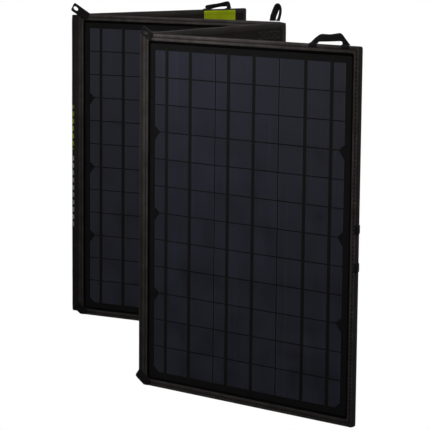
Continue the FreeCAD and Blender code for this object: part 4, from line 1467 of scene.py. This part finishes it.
FLOOR_HALF = 30.0
FLOOR_DROP = 0.0005
SURROUND_DIM = 0.005
SURROUND_GLOSS = 1.05
# name, place, what it faces, width, height, watts and whether gloss shows it
LIGHTS = (
    ("overhead", (-0.16, -0.40, 0.76), (0.0, -0.15, 0.42), 0.4, 1.2, 3.4, False),
    ("front_left", (-1.5, -1.8, 1.5), (-0.05, -0.3, 0.45), 0.8, 0.8, 0.5, True),
    ("front_right", (1.7, -1.1, 1.3), (0.05, 0.1, 0.50), 0.7, 0.7, 13.0, True),
    ("rear_fill", (1.2, 2.0, 1.5), (0.0, 0.0, 0.25), 1.2, 1.0, 7.0, True),
)
SENSOR_WIDTH = 36.0
LENS_LENGTH = 169.3
CLIP_END = 100.0
# the camera's place from the first fold line, its height, and its turns
CAMERA_RIGHT = 0.0984
CAMERA_BACK = 2.8753
CAMERA_HEIGHT = 0.681
CAMERA_DOWN = 8.56
CAMERA_ROLL = 0.525


def make_floor():
    """A plain pale floor that is bright only where it is looked at."""
    bm = bmesh.new()
    bmesh.ops.create_grid(bm, x_segments=1, y_segments=1, size=FLOOR_HALF)
    material, tree, shader = new_material("pale_floor", (0.85, 0.85, 0.85), 0.9)
    floor = finish_mesh(bm, "floor", material, smooth=False)
    floor.data.transform(Matrix.Translation((0.0, 0.0, -FLOOR_DROP)))
    seen = node(tree, "ShaderNodeLightPath").outputs["Is Camera Ray"]
    white = node(tree, "ShaderNodeEmission", {"Color": (1.0, 1.0, 1.0, 1.0),
                                              "Strength": 1.0})
    dim = node(tree, "ShaderNodeBsdfDiffuse", {"Color": (0.05, 0.05, 0.05, 1.0)})
    both = node(tree, "ShaderNodeMixShader", {0: seen, 1: dim.outputs[0],
                                              2: white.outputs[0]})
    tree.links.new(both.outputs[0], tree.nodes["Material Output"].inputs["Surface"])
    tree.nodes.remove(shader)


def soft_light(name, place, aim, width, height, power, in_gloss):
    """A rectangular softbox that faces a place."""
    lamp = bpy.data.lights.new(name, "AREA")
    lamp.shape = "RECTANGLE"
    lamp.size, lamp.size_y = width, height
    lamp.energy = power
    light = bpy.data.objects.new(name, lamp)
    bpy.context.scene.collection.objects.link(light)
    light.location = place
    way = Vector(aim) - Vector(place)
    light.rotation_euler = way.to_track_quat("-Z", "Y").to_euler()
    light.visible_glossy = in_gloss


def make_lights():
    """Soft lights all round, and a surround that is bright in gloss and behind."""
    for light in LIGHTS:
        soft_light(*light)
    world = bpy.data.worlds.new("studio")
    bpy.context.scene.world = world
    world.use_nodes = True
    tree = world.node_tree
    backdrop = tree.nodes["Background"]
    seen = node(tree, "ShaderNodeLightPath")
    plain = stretch(tree, seen.outputs["Is Camera Ray"], 0.0, 1.0, SURROUND_DIM, 1.0)
    gloss = maths(tree, "MULTIPLY", seen.outputs["Is Glossy Ray"], SURROUND_GLOSS)
    backdrop.inputs["Color"].default_value = (1.0, 1.0, 1.0, 1.0)
    tree.links.new(maths(tree, "ADD", plain, gloss), backdrop.inputs["Strength"])


def make_camera():
    """A long lens in front, looking slightly down."""
    lens = bpy.data.cameras.new("camera")
    lens.sensor_width = SENSOR_WIDTH
    lens.lens = LENS_LENGTH
    lens.clip_end = CLIP_END
    camera = bpy.data.objects.new("camera", lens)
    bpy.context.scene.collection.objects.link(camera)
    line = FOLD_LINES["12"]
    place = Vector((line.x + CAMERA_RIGHT, line.y - CAMERA_BACK, CAMERA_HEIGHT))
    camera.matrix_world = (Matrix.Translation(place)
                           @ Matrix.Rotation(math.radians(90.0 - CAMERA_DOWN), 4, "X")
                           @ Matrix.Rotation(math.radians(CAMERA_ROLL), 4, "Z"))
    bpy.context.scene.camera = camera
    bpy.context.scene.view_settings.view_transform = "Standard"


# ---- operators --------------------------------------------------------------

class SOLARKIT_OT_borders(bpy.types.Operator):
    """Sew the window borders of the four panels"""

    bl_idname = "solarkit.borders"
    bl_label = "Make Borders"

    def execute(self, context):
        for number in PANELS:
            make_border(number)
        return {"FINISHED"}


class SOLARKIT_OT_covers(bpy.types.Operator):
    """Stretch the back covers and wrap the side gussets"""

    bl_idname = "solarkit.covers"
    bl_label = "Make Covers and Gussets"

    def execute(self, context):
        for number in PANELS:
            piece = make_back_cover(number)
            make_gusset(number)
        return {"FINISHED"}


class SOLARKIT_OT_folds(bpy.types.Operator):
    """Join the panels with their fold spines and webs"""

    bl_idname = "solarkit.folds"
    bl_label = "Make Folds"

    def execute(self, context):
        for fold in FOLD_SIDE:
            make_spine(fold)
        for number in PANELS:
            make_webs(number)
        return {"FINISHED"}


class SOLARKIT_OT_straps(bpy.types.Operator):
    """Sew the handles, loops and corner tabs"""

    bl_idname = "solarkit.straps"
    bl_label = "Make Straps"

    def execute(self, context):
        make_handle_1()
        make_handle_4()
        make_handle_feet(1, HANDLE_1_X)
        make_handle_feet(4, HANDLE_4_X)
        make_fold_loop()
        make_tabs(1)
        make_tabs(3)
        make_side_loop()
        return {"FINISHED"}


class SOLARKIT_OT_label(bpy.types.Operator):
    """Sew the woven label and the junction box's patch"""

    bl_idname = "solarkit.label"
    bl_label = "Make Label and Patch"

    def execute(self, context):
        make_label()
        make_patch()
        return {"FINISHED"}


class SOLARKIT_OT_laminates(bpy.types.Operator):
    """Finish the laminates, the cells and their tabbing ribbons"""

    bl_idname = "solarkit.laminates"
    bl_label = "Finish Laminates"

    def execute(self, context):
        for number in PANELS:
            give(f"cells_{number}", kept(f"cell_glass_{number}", cell_glass, number))
            give(f"laminate_{number}",
                 kept(f"laminate_film_{number}", laminate_film, number))
            give(f"tabbing_ribbons_{number}",
                 kept(f"ribbon_foil_{number}", ribbon_foil, number))
        return {"FINISHED"}


class SOLARKIT_OT_inner(bpy.types.Operator):
    """Finish the boards, caps and leads inside the panels"""

    bl_idname = "solarkit.inner"
    bl_label = "Finish Inner Parts"

    def execute(self, context):
        for number in PANELS:
            give(f"stiffener_board_{number}", moulded_finish("stiffening_board"))
            give(f"terminal_cap_{number}", moulded_finish("potting_cap"))
            give(f"flat_leads_{number}", moulded_finish("flat_lead"))
        return {"FINISHED"}


class SOLARKIT_OT_junction(bpy.types.Operator):
    """Finish the junction box, its screws, gland and terminal board"""

    bl_idname = "solarkit.junction"
    bl_label = "Finish Junction Box"

    def execute(self, context):
        give("box_tray_4", moulded_finish("box_moulding"))
        give("box_lid_4", moulded_finish("box_moulding"))
        give("box_screws_4", moulded_finish("screw_steel"))
        give("cable_outlet_4", moulded_finish("gland_rubber"))
        give("box_terminals_4", moulded_finish("terminal_laminate"))
        return {"FINISHED"}


class SOLARKIT_OT_stage(bpy.types.Operator):
    """Set the floor, the lights and the camera"""

    bl_idname = "solarkit.stage"
    bl_label = "Make Stage"

    def execute(self, context):
        make_floor()
        make_lights()
        make_camera()
        return {"FINISHED"}


# ---- panel and registration --------------------------------------------------

class SOLARKIT_PT_panel(bpy.types.Panel):
    """Buttons and settings of the folding solar kit"""

    bl_label = "Folding Solar Kit"
    bl_idname = "SOLARKIT_PT_panel"
    bl_space_type = "VIEW_3D"
    bl_region_type = "UI"
    bl_category = "Solar Kit"

    def draw(self, context):
        layout = self.layout
        for name in SolarKitSettings.__annotations__:
            layout.prop(context.scene.solar_kit, name)
        for operator in OPERATORS:
            layout.operator(operator.bl_idname)


OPERATORS = (
    SOLARKIT_OT_stage,
    SOLARKIT_OT_borders,
    SOLARKIT_OT_covers,
    SOLARKIT_OT_folds,
    SOLARKIT_OT_straps,
    SOLARKIT_OT_label,
    SOLARKIT_OT_laminates,
    SOLARKIT_OT_inner,
    SOLARKIT_OT_junction,
)
CLASSES = (SolarKitSettings, *OPERATORS, SOLARKIT_PT_panel)


def register():
    """Register the settings, operators and panel."""
    for each in CLASSES:
        bpy.utils.register_class(each)
    bpy.types.Scene.solar_kit = bpy.props.PointerProperty(type=SolarKitSettings)


def unregister():
    """Take them out again."""
    del bpy.types.Scene.solar_kit
    for each in reversed(CLASSES):
        bpy.utils.unregister_class(each)


def main():
    """Build the whole kit."""
    register()
    for operator in OPERATORS:
        group, name = operator.bl_idname.split(".")
        getattr(getattr(bpy.ops, group), name)()


if __name__ == "__main__":
    main()
